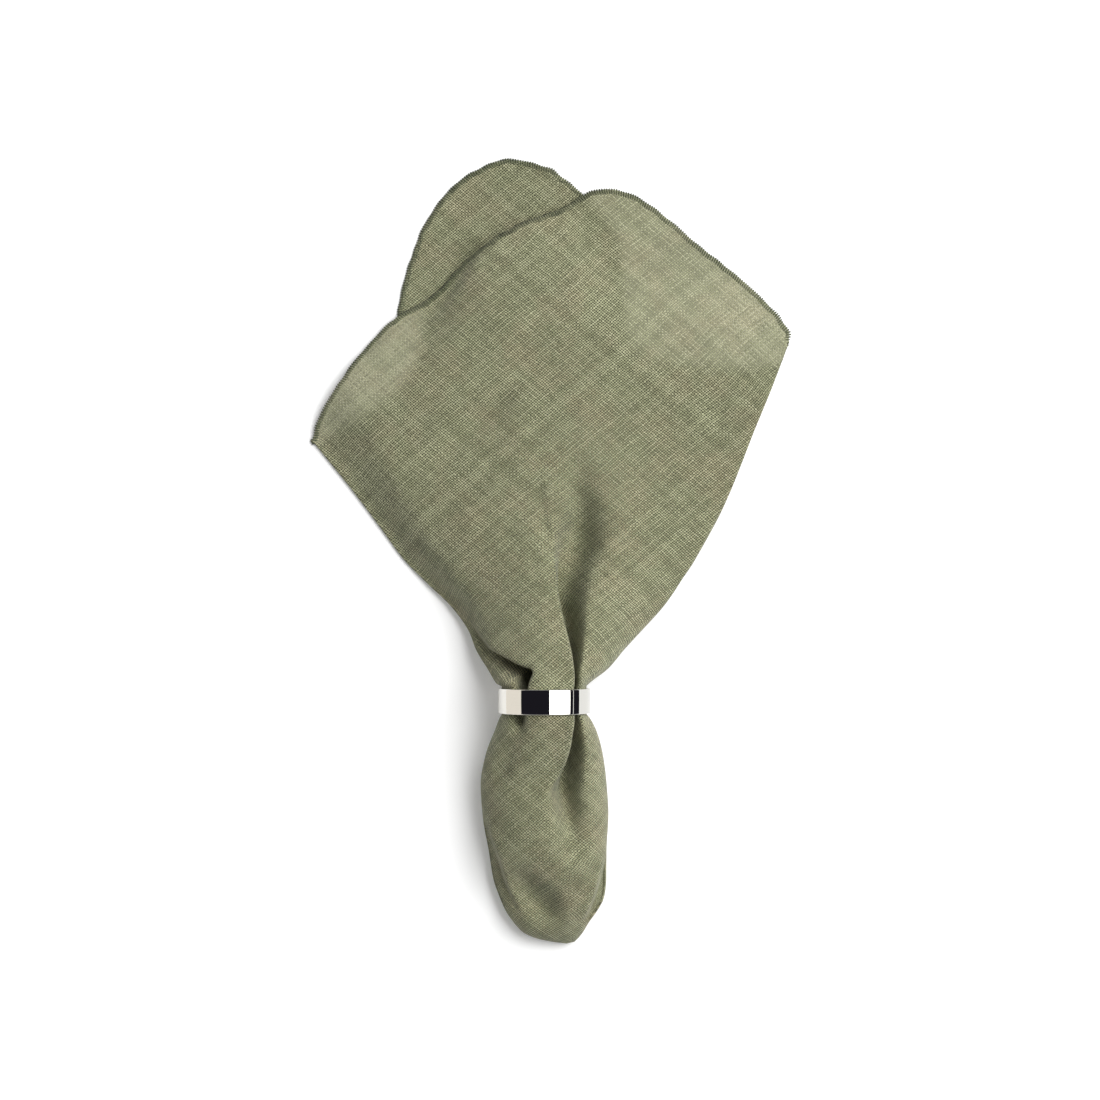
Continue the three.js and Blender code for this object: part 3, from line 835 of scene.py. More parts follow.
def station_places():
    """Places of the sections, a short step apart along the middle, shorter at the ring."""
    fine = np.linspace(0, len(SECTIONS) - 1, 1200)
    x = 0.5 * (read(SECTIONS, "at", fine, "lx") + read(SECTIONS, "at", fine, "rx"))
    y = 0.5 * (read(SECTIONS, "at", fine, "ly") + read(SECTIONS, "at", fine, "ry"))
    y = y + EDGE_RISE * read(SECTIONS, "at", fine, "reach")
    near = sum(np.exp(-(((y - spot["y"]) / spot["spread"]) ** 2)) for spot in CLOSE_SECTIONS)
    step = mix(STATION_STEP, STATION_STEP_AT_RING, np.clip(near, 0, 1))
    walked = np.hypot(np.diff(x), np.diff(y)) / step[1:]
    walked = np.concatenate(([0], np.cumsum(walked)))
    count = int(round(walked[-1]))
    return np.interp(np.linspace(0, walked[-1], count + 1), walked, fine)


# Waves of the cloth, broad and fine, and of its puckered edge.
BROAD_WAVES, FINE_WAVES, EDGE_WAVES = rows(
    "height seed count shortest longest",
    (0.4, 5, 14, 22, 46),
    (0.09, 9, 14, 7, 14),
    (0.22, 21, 10, 6, 11),
)
# The waves start at this height over the table and this far from the ring.
WAVE_HEIGHT = 1.0
WAVE_HEIGHT_RAMP = 9.0
WAVE_FROM_RING = 8
WAVE_FROM_RING_RAMP = 20
RING_MARGIN = 1.2


def soft_waves(x, y, waves):
    """Uneven rise and fall of cloth: many plane waves of chosen lengths."""
    draw = np.random.default_rng(waves["seed"])
    longest = waves["longest"]
    total = np.zeros(np.shape(x))
    for _ in range(waves["count"]):
        angle = draw.uniform(0, np.pi)
        length = draw.uniform(waves["shortest"], longest)
        phase = draw.uniform(0, 2 * np.pi)
        bend = draw.uniform(-0.6, 0.6)
        p = x * math.cos(angle) + y * math.sin(angle)
        q = -x * math.sin(angle) + y * math.cos(angle)
        total += np.sin(2 * np.pi * p / length + phase + bend * np.sin(q / longest))
    return waves["height"] * total / math.sqrt(waves["count"])


def settle(loops):
    """Small waves in the cloth, none where it lies on the table or in the ring."""
    x, y, z = loops[..., 0], loops[..., 1], loops[..., 2]
    free = ease((z - WAVE_HEIGHT) / WAVE_HEIGHT_RAMP)
    out = ease((np.abs(y - RING_Y) - WAVE_FROM_RING) / WAVE_FROM_RING_RAMP)
    rise = soft_waves(x, y, BROAD_WAVES) + soft_waves(x, y, FINE_WAVES)
    loops[..., 2] += rise * free * out
    # Inside the ring nothing stands out of the round bundle.
    inside = np.abs(y - RING_Y) < 0.5 * RING_WIDTH + RING_MARGIN
    far = np.hypot(loops[..., 0] - RING_X, loops[..., 2] - RING_RADIUS)
    scale = np.where(inside, np.minimum(1, BUNDLE / np.maximum(far, 0.01)), 1)
    loops[..., 0] = RING_X + (loops[..., 0] - RING_X) * scale
    loops[..., 2] = RING_RADIUS + (loops[..., 2] - RING_RADIUS) * scale
    return loops


# Up the fan from here the pleat runs out, and its ribs take the plain lengths again.
PLEAT_END_Y = -34
PLEAT_END_RAMP = 20
# Ribs in flat cloth, counted from the nearest border, from which strips are measured.
FLAT_RIB_LEFT = 4
FLAT_RIB_RIGHT = 8


def crease_lengths(u, loops, creased):
    """Let the walls of the creases carry their real length of cloth.

    Each strip of the top layer is measured from a rib in its flat part, so the
    threads only part company down in the creases."""
    count = LAYERS[0]["ribs"]
    x = loops[:, :count, 0]
    step = np.hypot(np.diff(x, axis=1), np.diff(creased, axis=1))
    walked = np.concatenate([np.zeros((len(x), 1)), np.cumsum(step, axis=1)], axis=1)
    pleat = POCKET_RIBS + PLEAT_RIBS
    fade = 1 - ease((loops[:, [pleat], 1] - PLEAT_END_Y) / PLEAT_END_RAMP)
    strips = (
        (0, POCKET_RIBS, FLAT_RIB_LEFT),
        (POCKET_RIBS, pleat, POCKET_RIBS + PLEAT_RIBS // 2),
        (pleat, count, count - FLAT_RIB_RIGHT),
    )
    for first, after, origin in strips:
        there = slice(first, after)
        real = u[:, [origin]] + walked[:, there] - walked[:, [origin]]
        u[:, there] = mix(u[:, there], real, fade)
    return u


def thread_places(loops, creased):
    """Flat cloth coordinates of each point, for the weave: lengths across and along."""
    ribs = loops.shape[1]
    counts = [layer["ribs"] for layer in LAYERS]
    sideways = np.diff(loops[..., 0], axis=1, append=loops[:, :1, 0])
    # Where the front folds back under a lip the threads stand still.
    sideways[:, : counts[0] - 1] = np.maximum(sideways[:, : counts[0] - 1], 0)
    across_step = np.hypot(sideways, np.diff(loops[..., 2], axis=1, append=loops[:, :1, 2]))
    starts = [sum(counts[:i]) + i * FOLD_STEPS for i in range(len(counts))]
    lengths = np.cumsum(across_step, axis=1) - across_step
    # Three groups of ribs, each measured from a rib of its own.
    top_middle = counts[0] // 2
    second = starts[1] + counts[1] // 2
    seventh = starts[6] + counts[6] // 2
    group = np.zeros(ribs, int)
    group[second:seventh] = 1
    group[seventh : starts[7] + counts[7]] = 2
    origins = (top_middle, starts[4], starts[7] + counts[7] // 2)
    u = np.zeros(loops.shape[:2])
    for g, origin in enumerate(origins):
        part = group == g
        base = loops[:, origin, 0][:, None]
        way = 1 if g == 0 else -1
        u[:, part] = (base + way * (lengths - lengths[:, origin][:, None]))[:, part]
    wrap = np.arange(ribs) >= starts[7] + counts[7]
    total = lengths[:, -1] + across_step[:, -1]
    back = lengths - total[:, None] - lengths[:, top_middle][:, None]
    u[:, wrap] = (loops[:, top_middle, 0][:, None] + back)[:, wrap]
    u = crease_lengths(u, loops, creased)
    # Along the cloth, every rib keeps step with the middle one.
    middle = loops[:, top_middle]
    walked = np.hypot(np.diff(middle[:, 1]), np.diff(middle[:, 2]))
    walked = np.concatenate(([0], np.cumsum(walked)))
    at_ring = int(np.argmin(np.abs(middle[:, 1] - RING_Y)))
    ahead = walked - walked[at_ring] - middle[:, 1]
    v = loops[..., 1] + ahead[:, None]
    return u, v


def linked(name, data):
    """A new object for a mesh, a light or a camera, put into the scene."""
    thing = bpy.data.objects.new(name, data)
    bpy.context.scene.collection.objects.link(thing)
    return thing


def smooth_piece(name, points, faces):
    """A smooth shaded piece from points in millimetres and lists of corners."""
    mesh = bpy.data.meshes.new(name)
    shift = np.array([ORIGIN_X, ORIGIN_Y, 0])
    mesh.from_pydata(((points - shift) * MM).tolist(), [], faces)
    mesh.shade_smooth()
    return linked(name, mesh)


def ring_faces(turns, columns):
    """Quads of a grid that closes into a loop both ways."""
    r, c = np.meshgrid(np.arange(turns), np.arange(columns), indexing="ij")
    a, b = r * columns, (r + 1) % turns * columns
    d = (c + 1) % columns
    return np.stack([a + c, b + c, b + d, a + d], axis=-1).reshape(-1, 4).tolist()


def grid_faces(rows_count, columns, first, flip):
    """Quads of a grid whose columns close into a loop."""
    r, c = np.meshgrid(np.arange(rows_count - 1), np.arange(columns), indexing="ij")
    d = (c + 1) % columns
    a = first + r * columns + c
    b = first + r * columns + d
    quads = np.stack([a, b, b + columns, a + columns], axis=-1).reshape(-1, 4)
    return quads[:, ::-1] if flip else quads


def unit(vectors):
    """Vectors of length one in the same directions."""
    size = np.linalg.norm(vectors, axis=-1, keepdims=True)
    return vectors / np.maximum(size, 1e-9)


# How far the closed tip of the tail stands out past the first section.
TIP_REACH = 0.7


def make_napkin(loops, calm, gap_shade, creased):
    """The cloth as one closed thin sheet, with its thread places and what backs it, which sets the
    painted shade in its weave gaps.
    """
    count, ribs = loops.shape[:2]
    around = np.roll(loops, -1, axis=1) - np.roll(loops, 1, axis=1)
    onward = np.empty_like(loops)
    onward[1:-1] = loops[2:] - loops[:-2]
    onward[0] = loops[1] - loops[0]
    onward[-1] = loops[-1] - loops[-2]
    normal = unit(np.cross(around, onward))
    tip = np.array([loops[0, :, 0].mean(), loops[0, 0, 1] - TIP_REACH, SECTIONS[0]["waist"]])
    points = []
    for side in (1, -1):
        points.append((loops + side * 0.5 * SHEET * normal).reshape(-1, 3))
        points.append((tip + side * 0.5 * SHEET * np.array([0, -1.0, 0]))[None])
    points = np.concatenate(points)
    half = count * ribs + 1
    quads = [grid_faces(count, ribs, 0, False), grid_faces(count, ribs, half, True)]
    c = np.arange(ribs)
    d = (c + 1) % ribs
    edge = (count - 1) * ribs
    quads.append(np.stack([edge + c, edge + d, edge + d + half, edge + c + half], axis=-1))
    caps = [
        np.stack([np.full(ribs, half - 1), d, c], axis=-1),
        np.stack([np.full(ribs, 2 * half - 1), half + c, half + d], axis=-1),
    ]
    faces = np.concatenate(quads).tolist() + np.concatenate(caps).tolist()
    piece = smooth_piece("napkin_cloth", points, faces)
    mesh = piece.data
    # Thread places on each corner, so that a group of ribs may start afresh.
    u, v = thread_places(calm, creased)
    lay = mesh.uv_layers.new(name="Threads")
    index = np.zeros(len(mesh.loops), np.int64)
    mesh.loops.foreach_get("vertex_index", index)
    at = index % half
    at = np.where(at == half - 1, 0, at)
    r, c = at // ribs, at % ribs
    flat = np.stack([u[r, c], v[r, c]], axis=-1) / FLAT_SIDE
    lay.data.foreach_set("uv", flat.astype(np.float32).ravel())
    # Share of painted shade in the weave gaps at each point, for the linen.
    gap_shade_layer = mesh.attributes.new("painted_gap_shade", "FLOAT", "POINT")
    gap_shaded = np.concatenate([gap_shade.ravel(), [1.0], gap_shade.ravel(), [1.0]])
    gap_shade_layer.data.foreach_set("value", gap_shaded.astype(np.float32))
    return piece


def cloth_loops():
    """Loops of all sections in order, the same calm, what backs them for the painted gap shade, and
    creased.
    """
    sections = [section_loop(section(at)) for at in station_places()]
    points, calm, gap_shade, creased = (np.array(kind) for kind in zip(*sections))
    return settle(points), calm, gap_shade, creased


# Overlocked hem: one thread wound round the edge of the cloth.
STITCH_PITCH = 1.08
STITCH_STEPS = 8
HEM_WIDTH = 2.3
HEM_THICK = 0.95
HEM_INSET = 0.75
SNUG = 0.45
THREAD_RADIUS = 0.33


def smooth_at(points, walked, at):
    """Points of a smooth closed curve at lengths along it."""
    count = len(points)
    i = np.clip(np.searchsorted(walked, at, side="right") - 1, 0, count - 1)
    t = ((at - walked[i]) / np.maximum(np.diff(walked)[i], 1e-9))[:, None]
    p0, p1, p2, p3 = (points[(i + k) % count] for k in (-1, 0, 1, 2))
    return 0.5 * (
        2 * p1
        + (p2 - p0) * t
        + (2 * p0 - 5 * p1 + 4 * p2 - p3) * t**2
        + (3 * p1 - p0 - 3 * p2 + p3) * t**3
    )


def square_to(vectors, axis):
    """Vectors of length one made square to an axis of length one."""
    return unit(vectors - axis * np.sum(vectors * axis, axis=1, keepdims=True))


def make_hem(loops):
    """Thread wound round the four sides of the cloth, about a millimetre a turn."""
    edge = loops[-1]
    size = np.linalg.norm(np.roll(edge, -1, axis=0) - edge, axis=1)
    walked = np.concatenate(([0], np.cumsum(size)))
    steps = int(round(walked[-1] / STITCH_PITCH)) * STITCH_STEPS
    at = np.linspace(0, walked[-1], steps, endpoint=False)
    path = smooth_at(edge, walked, at)
    onward = unit(np.roll(path, -1, axis=0) - np.roll(path, 1, axis=0))
    outward = unit(loops[-1] - loops[-2])
    closed = np.concatenate([outward, outward[:1]])
    out = np.stack([np.interp(at, walked, closed[:, k]) for k in range(3)], axis=-1)
    out = square_to(out, onward)
    up = np.cross(onward, out)
    # On the inner layers and round their turns the thread is drawn tight.
    counts = [layer["ribs"] for layer in LAYERS]
    snug = np.ones(len(edge) + 1)
    snug[counts[0] : len(edge) - WRAP_STEPS - counts[-1]] = SNUG
    snug = np.interp(at, walked, snug)[:, None]
    phase = 2 * np.pi * np.arange(steps) / STITCH_STEPS
    cos, sin = np.cos(phase)[:, None], np.sin(phase)[:, None]
    # The cut edge puckers a little, so the hem wanders in and out.
    inset = HEM_INSET - soft_waves(path[:, 0], path[:, 1], EDGE_WAVES)[:, None]
    line = path + snug * (out * (0.5 * HEM_WIDTH * cos - inset) + up * 0.5 * HEM_THICK * sin)
    line[:, 2] = np.maximum(line[:, 2], THREAD_RADIUS)
    ahead = unit(np.roll(line, -1, axis=0) - np.roll(line, 1, axis=0))
    away = square_to(unit(out * cos + up * sin), ahead)
    sideways = np.cross(ahead, away)
    corners = [away, sideways, -away, -sideways]
    points = np.stack([line + THREAD_RADIUS * corner for corner in corners], axis=1)
    return smooth_piece("hem_stitching", points.reshape(-1, 3), ring_faces(steps, 4))


# Polished band.
BAND_STEPS = 288
BAND_WALL = 1.2
BAND_EASED = 0.35
EDGE_STEPS = 5


def make_ring():
    """A plain round band with eased edges, its axis along Y."""
    low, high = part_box("ring")
    centre_x = 0.5 * (low.x + high.x) / MM
    centre_y = 0.5 * (low.y + high.y) / MM
    outer = 0.5 * (high.z - low.z) / MM
    half = 0.5 * (high.y - low.y) / MM
    corners = [
        (outer - BAND_WALL, -half, 180),
        (outer, -half, 270),
        (outer, half, 0),
        (outer - BAND_WALL, half, 90),
    ]
    profile = []
    for radius, y, first in corners:
        cx = radius + (BAND_EASED if radius < outer else -BAND_EASED)
        cy = y + (BAND_EASED if y < 0 else -BAND_EASED)
        for k in range(EDGE_STEPS + 1):
            turn = math.radians(first + 90 * k / EDGE_STEPS)
            profile.append((cx + BAND_EASED * math.cos(turn), cy + BAND_EASED * math.sin(turn)))
    profile = np.array(profile)
    turn = 2 * np.pi * np.arange(BAND_STEPS) / BAND_STEPS
    radius = profile[:, 0][None, :]
    points = np.stack(
        [
            centre_x + ORIGIN_X + radius * np.sin(turn)[:, None],
            np.broadcast_to(centre_y + ORIGIN_Y + profile[:, 1], (BAND_STEPS, len(profile))),
            outer + radius * np.cos(turn)[:, None],
        ],
        axis=-1,
    ).reshape(-1, 3)
    return smooth_piece("ring_band", points, ring_faces(BAND_STEPS, len(profile)))


# Materials. Colours are the colour of the bare surface under even white light, except
# the gap colours, which are painted shade and painted table light, and the pale flax,
# which is partly a painted highlight.
YARN_PITCH = 0.93
YARN_ANGLE = 40.0
SAGE = (0.262, 0.272, 0.155)
STRAW = (0.282, 0.264, 0.155)
DEEP_SAGE = (0.205, 0.21, 0.118)
HEM_SAGE = (0.098, 0.112, 0.06)
HEM_STRAW = (0.135, 0.138, 0.082)
HEM_DEEP = (0.058, 0.072, 0.038)
# Pale flax for bright yarn crowns and slubs: the slubs are real, the crowns a painted highlight.
PALE_FLAX_AND_HIGHLIGHT = (0.44, 0.43, 0.31)
# Weave gaps: painted shade where cloth lies beneath, the table's painted light where the cloth is
# single.
GAP_PAINTED_SHADE = (0.02, 0.02, 0.012)
GAP_PAINTED_TABLE_LIGHT = (0.34, 0.33, 0.25)
BRIGHT_METAL = (0.7, 0.685, 0.64)
DULL_METAL = (0.62, 0.605, 0.56)
TABLE_WHITE = (0.95, 0.95, 0.95)
TABLE_PALER = (0.965, 0.965, 0.965)


def add_node(tree, kind, **settings):
    """A new node with its settings."""
    node = tree.nodes.new(kind)
    for name, value in settings.items():
        setattr(node, name, value)
    return node


def feed(tree, socket, value):
    """Put a number, a colour or another node's output into a socket."""
    if isinstance(value, bpy.types.NodeSocket):
        tree.links.new(value, socket)
    elif isinstance(value, tuple) and socket.type == "RGBA" and len(value) == 3:
        socket.default_value = (*value, 1)
    else:
        socket.default_value = value


def maths(tree, operation, *values):
    """One sum on numbers."""
    node = add_node(tree, "ShaderNodeMath", operation=operation)
    for socket, value in zip(node.inputs, values):
        feed(tree, socket, value)
    return node.outputs["Value"]


def vector_maths(tree, operation, *values):
    """One sum on vectors."""
    node = add_node(tree, "ShaderNodeVectorMath", operation=operation)
    for socket, value in zip(node.inputs, values):
        feed(tree, socket, value)
    return node.outputs["Value" if operation == "DOT_PRODUCT" else "Vector"]


def spread(tree, value, low, high, to_low, to_high):
    """Stretch a value from one range to another and stop at its ends."""
    node = add_node(tree, "ShaderNodeMapRange", interpolation_type="SMOOTHSTEP")
    for name, number in (
        ("Value", value),
        ("From Min", low),
        ("From Max", high),
        ("To Min", to_low),
        ("To Max", to_high),
    ):
        feed(tree, node.inputs[name], number)
    return node.outputs["Result"]


def blend_numbers(tree, share, first, second):
    node = add_node(tree, "ShaderNodeMix", data_type="FLOAT")
    feed(tree, node.inputs[0], share)
    feed(tree, node.inputs[2], first)
    feed(tree, node.inputs[3], second)
    return node.outputs[0]


def blend_colours(tree, share, first, second, blend="MIX"):
    node = add_node(tree, "ShaderNodeMix", data_type="RGBA", blend_type=blend)
    feed(tree, node.inputs[0], share)
    feed(tree, node.inputs[6], first)
    feed(tree, node.inputs[7], second)
    return node.outputs[2]


def noise(tree, place, scale, detail, roughness=0.5, output="Fac"):
    node = add_node(tree, "ShaderNodeTexNoise", noise_dimensions="3D")
    feed(tree, node.inputs["Vector"], place)
    node.inputs["Scale"].default_value = scale
    node.inputs["Detail"].default_value = detail
    node.inputs["Roughness"].default_value = roughness
    return node.outputs[output]


def wandering(tree, place, scale, detail, far):
    """A place moved about by soft noise, by half of far each way at most."""
    moved = noise(tree, place, scale, detail, output="Color")
    moved = vector_maths(tree, "SUBTRACT", moved, (0.5, 0.5, 0.5))
    return vector_maths(tree, "MULTIPLY", moved, (far, far, 0.0))


def add_bump(tree, surface, height, strength, distance):
    """Raise the surface by a height, its distance in metres."""
    node = add_node(tree, "ShaderNodeBump")
    node.inputs["Strength"].default_value = strength
    node.inputs["Distance"].default_value = distance
    feed(tree, node.inputs["Height"], height)
    feed(tree, surface["Normal"], node.outputs["Normal"])


def join(tree, x, y, z):
    """Three numbers as one vector or grey colour."""
    node = add_node(tree, "ShaderNodeCombineXYZ")
    for socket, value in zip(node.inputs, (x, y, z)):
        feed(tree, socket, value)
    return node.outputs["Vector"]


def new_group(name, inputs, outputs):
    """An empty node group with its named sockets."""
    tree = bpy.data.node_groups.new(name, "ShaderNodeTree")
    for label, kind in inputs:
        tree.interface.new_socket(name=label, in_out="INPUT", socket_type="NodeSocket" + kind)
    for label, kind in outputs:
        tree.interface.new_socket(name=label, in_out="OUTPUT", socket_type="NodeSocket" + kind)
    start = add_node(tree, "NodeGroupInput")
    end = add_node(tree, "NodeGroupOutput")
    return tree, start.outputs, end.inputs


def use_group(tree, group, **values):
    node = add_node(tree, "ShaderNodeGroup", node_tree=group)
    for name, value in values.items():
        feed(tree, node.inputs[name], value)
    return node.outputs


def make_uneven_yarn():
    """How light a flax yarn is along its length, and where its thick light slubs are."""
    tree, given, result = new_group(
        "uneven_yarn",
        [("Yarn", "Float"), ("Along", "Float")],
        [("Tone", "Float"), ("Slub", "Float")],
    )
    number = add_node(tree, "ShaderNodeTexWhiteNoise", noise_dimensions="1D")
    feed(tree, number.inputs["W"], given["Yarn"])
    own_tone = spread(tree, number.outputs["Value"], 0, 1, 0.8, 1.2)
    yarn_row = maths(tree, "MULTIPLY", given["Yarn"], 3.71)
    short = join(tree, yarn_row, maths(tree, "MULTIPLY", given["Along"], 0.16), 0.0)
    along_tone = spread(tree, noise(tree, short, 1.0, 2.0), 0.28, 0.72, 0.82, 1.18)
    far = join(tree, yarn_row, maths(tree, "MULTIPLY", given["Along"], 0.075), 31.0)
    slub = spread(tree, noise(tree, far, 1.0, 1.0), 0.66, 0.78, 0.0, 1.0)
    tone = maths(tree, "MULTIPLY", own_tone, along_tone)
    feed(tree, result["Tone"], maths(tree, "MULTIPLY_ADD", slub, 0.2, tone))
    feed(tree, result["Slub"], slub)
    return tree


def make_dyed_flax():
    """Uneven dye: sage with straw-coloured and deeper patches."""
    tree, given, result = new_group(
        "dyed_flax",
        [("Place", "Vector"), ("Sage", "Color"), ("Straw", "Color"), ("Deep", "Color")],
        [("Colour", "Color")],
    )
    wide = noise(tree, given["Place"], 0.045, 4.0, 0.6)
    elsewhere = vector_maths(tree, "ADD", given["Place"], (57.0, 9.0, 3.0))
    fine = noise(tree, elsewhere, 0.13, 3.0, 0.65)
    straw = spread(tree, wide, 0.42, 0.66, 0.0, 0.85)
    deep = spread(tree, fine, 0.45, 0.7, 0.0, 0.7)
    colour = blend_colours(tree, straw, given["Sage"], given["Straw"])
    feed(tree, result["Colour"], blend_colours(tree, deep, colour, given["Deep"]))
    return tree


def new_material(name):
    """A material, its node tree and the sockets of its surface shader."""
    material = bpy.data.materials.new(name)
    material.use_nodes = True
    return material, material.node_tree, material.node_tree.nodes["Principled BSDF"].inputs


def make_linen(uneven_yarn, dyed_flax):
    """Loose plain weave of slubby yarn, with painted shade across each yarn, paler crowns that are
    partly a painted highlight, and gaps painted with shade over cloth and with the table's light over
    the table.
    """
    material, tree, surface = new_material("linen")
    lay = add_node(tree, "ShaderNodeUVMap", uv_map="Threads")
    flat = vector_maths(tree, "MULTIPLY", lay.outputs["UV"], (FLAT_SIDE, FLAT_SIDE, 0.0))
    # The yarns drift over the cloth and wobble a little from one to the next.
    place = vector_maths(tree, "ADD", flat, wandering(tree, flat, 0.03, 2.0, 2.2))
    place = vector_maths(tree, "ADD", place, wandering(tree, flat, 0.55, 1.0, 0.8))
    sin = math.sin(math.radians(YARN_ANGLE))
    cos = math.cos(math.radians(YARN_ANGLE))
    sides = []
    for way in (1, -1):
        over = vector_maths(tree, "DOT_PRODUCT", place, (way * sin, cos, 0.0))
        count = maths(tree, "DIVIDE", over, YARN_PITCH)
        number = maths(tree, "FLOOR", count)
        along = vector_maths(tree, "DOT_PRODUCT", place, (cos, -way * sin, 0.0))
        wave = maths(tree, "SINE", maths(tree, "MULTIPLY", count, math.pi))
        number = maths(tree, "ADD", number, 500.0 * way)
        yarn = use_group(tree, uneven_yarn, Yarn=number, Along=along)
        sides.append((yarn["Tone"], yarn["Slub"], wave, maths(tree, "ABSOLUTE", wave)))
    (tone_a, slub_a, wave_a, round_a), (tone_b, slub_b, wave_b, round_b) = sides
    crossing = maths(tree, "MULTIPLY", wave_a, wave_b)
    on_top = spread(tree, crossing, -0.12, 0.12, 0.0, 1.0)
    tone = blend_numbers(tree, on_top, tone_b, tone_a)
    slub = blend_numbers(tree, on_top, slub_b, slub_a)
    roundness = blend_numbers(tree, on_top, round_b, round_a)
    widest = maths(tree, "MAXIMUM", round_a, round_b)
    gap = spread(tree, widest, 0.5, 0.94, 1.0, 0.0)
    gap = maths(tree, "MULTIPLY", gap, maths(tree, "MULTIPLY_ADD", slub, -0.8, 1.0))
    dye = use_group(
        tree, dyed_flax, Place=flat, Sage=SAGE, Straw=STRAW, Deep=DEEP_SAGE
    )["Colour"]
    # Painted shade across each round yarn, darker at its sides and lighter on its crown, times the
    # yarn's own tone.
    shade = maths(tree, "MULTIPLY", tone, spread(tree, roundness, 0.05, 0.95, 0.22, 1.27))
    yarn_colour = blend_colours(tree, 1.0, dye, join(tree, shade, shade, shade), "MULTIPLY")
    # Bright crowns and slubs turn paler: the slubs are real, the crowns a painted highlight.
    pale_and_highlight = spread(tree, shade, 0.95, 1.9, 0.0, 0.5)
    yarn_colour = blend_colours(tree, pale_and_highlight, yarn_colour, PALE_FLAX_AND_HIGHLIGHT)
    painted_gap_shade = add_node(tree, "ShaderNodeAttribute", attribute_name="painted_gap_shade").outputs["Fac"]
    # Painted see-through: the gaps get painted shade over cloth and the table's painted light where
    # the front is single.
    painted_gap_colour = blend_colours(tree, painted_gap_shade, GAP_PAINTED_TABLE_LIGHT, GAP_PAINTED_SHADE)
    colour = blend_colours(tree, gap, yarn_colour, painted_gap_colour)
    feed(tree, surface["Base Color"], colour)
    feed(tree, surface["Roughness"], spread(tree, tone, 0.6, 1.6, 0.95, 0.72))
    lift = maths(tree, "MULTIPLY_ADD", slub, 0.35, roundness)
    lift = maths(tree, "MULTIPLY", lift, maths(tree, "SUBTRACT", 1.0, gap))
    add_bump(tree, surface, lift, 0.55, 0.00028)
    surface["Sheen Weight"].default_value = 0.12
    surface["Sheen Roughness"].default_value = 0.6
    surface["Specular IOR Level"].default_value = 0.25
    return material


def make_hem_thread(uneven_yarn, dyed_flax):
    """Darker overlock thread, a little smoother than the linen."""
    material, tree, surface = new_material("hem_thread")
    spot = add_node(tree, "ShaderNodeTexCoord").outputs["Object"]
    place = vector_maths(tree, "MULTIPLY", spot, (1000.0, 1000.0, 1000.0))
    along = vector_maths(tree, "DOT_PRODUCT", place, (0.8, 0.6, 0.0))
    number = maths(tree, "FLOOR", maths(tree, "DIVIDE", along, STITCH_PITCH))
    yarn = use_group(tree, uneven_yarn, Yarn=number, Along=along)
    dye = use_group(
        tree, dyed_flax, Place=place, Sage=HEM_SAGE, Straw=HEM_STRAW, Deep=HEM_DEEP
    )["Colour"]
    shade = maths(tree, "MULTIPLY_ADD", yarn["Tone"], 0.7, 0.3)
    colour = blend_colours(tree, 1.0, dye, join(tree, shade, shade, shade), "MULTIPLY")
    feed(tree, surface["Base Color"], colour)
    feed(tree, surface["Roughness"], spread(tree, yarn["Tone"], 0.6, 1.5, 0.78, 0.55))
    twist = noise(tree, vector_maths(tree, "MULTIPLY", place, (1.0, 1.0, 2.0)), 2.4, 2.0)
    add_bump(tree, surface, twist, 0.4, 0.0001)
    surface["Sheen Weight"].default_value = 0.1
    surface["Specular IOR Level"].default_value = 0.35
    return material


def make_polished_metal():
    """Mirror-polished metal with faint hairlines round the band and a few dull spots."""
    material, tree, surface = new_material("polished_metal")
    spot = add_node(tree, "ShaderNodeTexCoord").outputs["Object"]
    round_the_band = vector_maths(tree, "MULTIPLY", spot, (60.0, 9000.0, 60.0))
    hairlines = noise(tree, round_the_band, 1.0, 3.0, 0.6)
    dull = noise(tree, spot, 160.0, 3.0, 0.6)
    scratched = spread(tree, hairlines, 0.5, 0.8, 0.0, 1.0)
    worn = maths(tree, "MULTIPLY", scratched, spread(tree, dull, 0.4, 0.7, 0.2, 1.0))
    feed(tree, surface["Base Color"], blend_colours(tree, worn, BRIGHT_METAL, DULL_METAL))
    feed(tree, surface["Roughness"], spread(tree, worn, 0.0, 1.0, 0.025, 0.11))
    surface["Metallic"].default_value = 1.0
    add_bump(tree, surface, hairlines, 0.05, 0.00001)
    return material


def make_table_white():
    """Plain matt white table top, hardly uneven."""
    material, tree, surface = new_material("table_white")
    spot = add_node(tree, "ShaderNodeTexCoord").outputs["Object"]
    cloudy = noise(tree, spot, 3.0, 2.0)
    feed(tree, surface["Base Color"], blend_colours(tree, cloudy, TABLE_WHITE, TABLE_PALER))
    feed(tree, surface["Roughness"], spread(tree, cloudy, 0.3, 0.7, 0.55, 0.65))
    # The table glows a little by itself, which takes most of the shadow away.
    surface["Emission Color"].default_value = (1, 1, 1, 1)
    surface["Emission Strength"].default_value = 0.12
    return material


def make_card(name, colour):
    """An evenly bright or black card that only shows in the polished band."""
    material, _, surface = new_material(name)
    surface["Base Color"].default_value = (0, 0, 0, 1)
    surface["Roughness"].default_value = 1.0
    surface["Specular IOR Level"].default_value = 0.0
    surface["Emission Color"].default_value = (*colour, 1)
    surface["Emission Strength"].default_value = 1.0 if max(colour) > 0 else 0.0
    return material


loops, calm, gap_shade, creased = cloth_loops()
napkin = make_napkin(loops, calm, gap_shade, creased)
hem = make_hem(loops)
band = make_ring()

uneven_yarn = make_uneven_yarn()
dyed_flax = make_dyed_flax()
napkin.data.materials.append(make_linen(uneven_yarn, dyed_flax))
hem.data.materials.append(make_hem_thread(uneven_yarn, dyed_flax))
band.data.materials.append(make_polished_metal())

for piece in (napkin, hem, band):
    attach(piece, "root")
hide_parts("napkin")
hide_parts("ring")

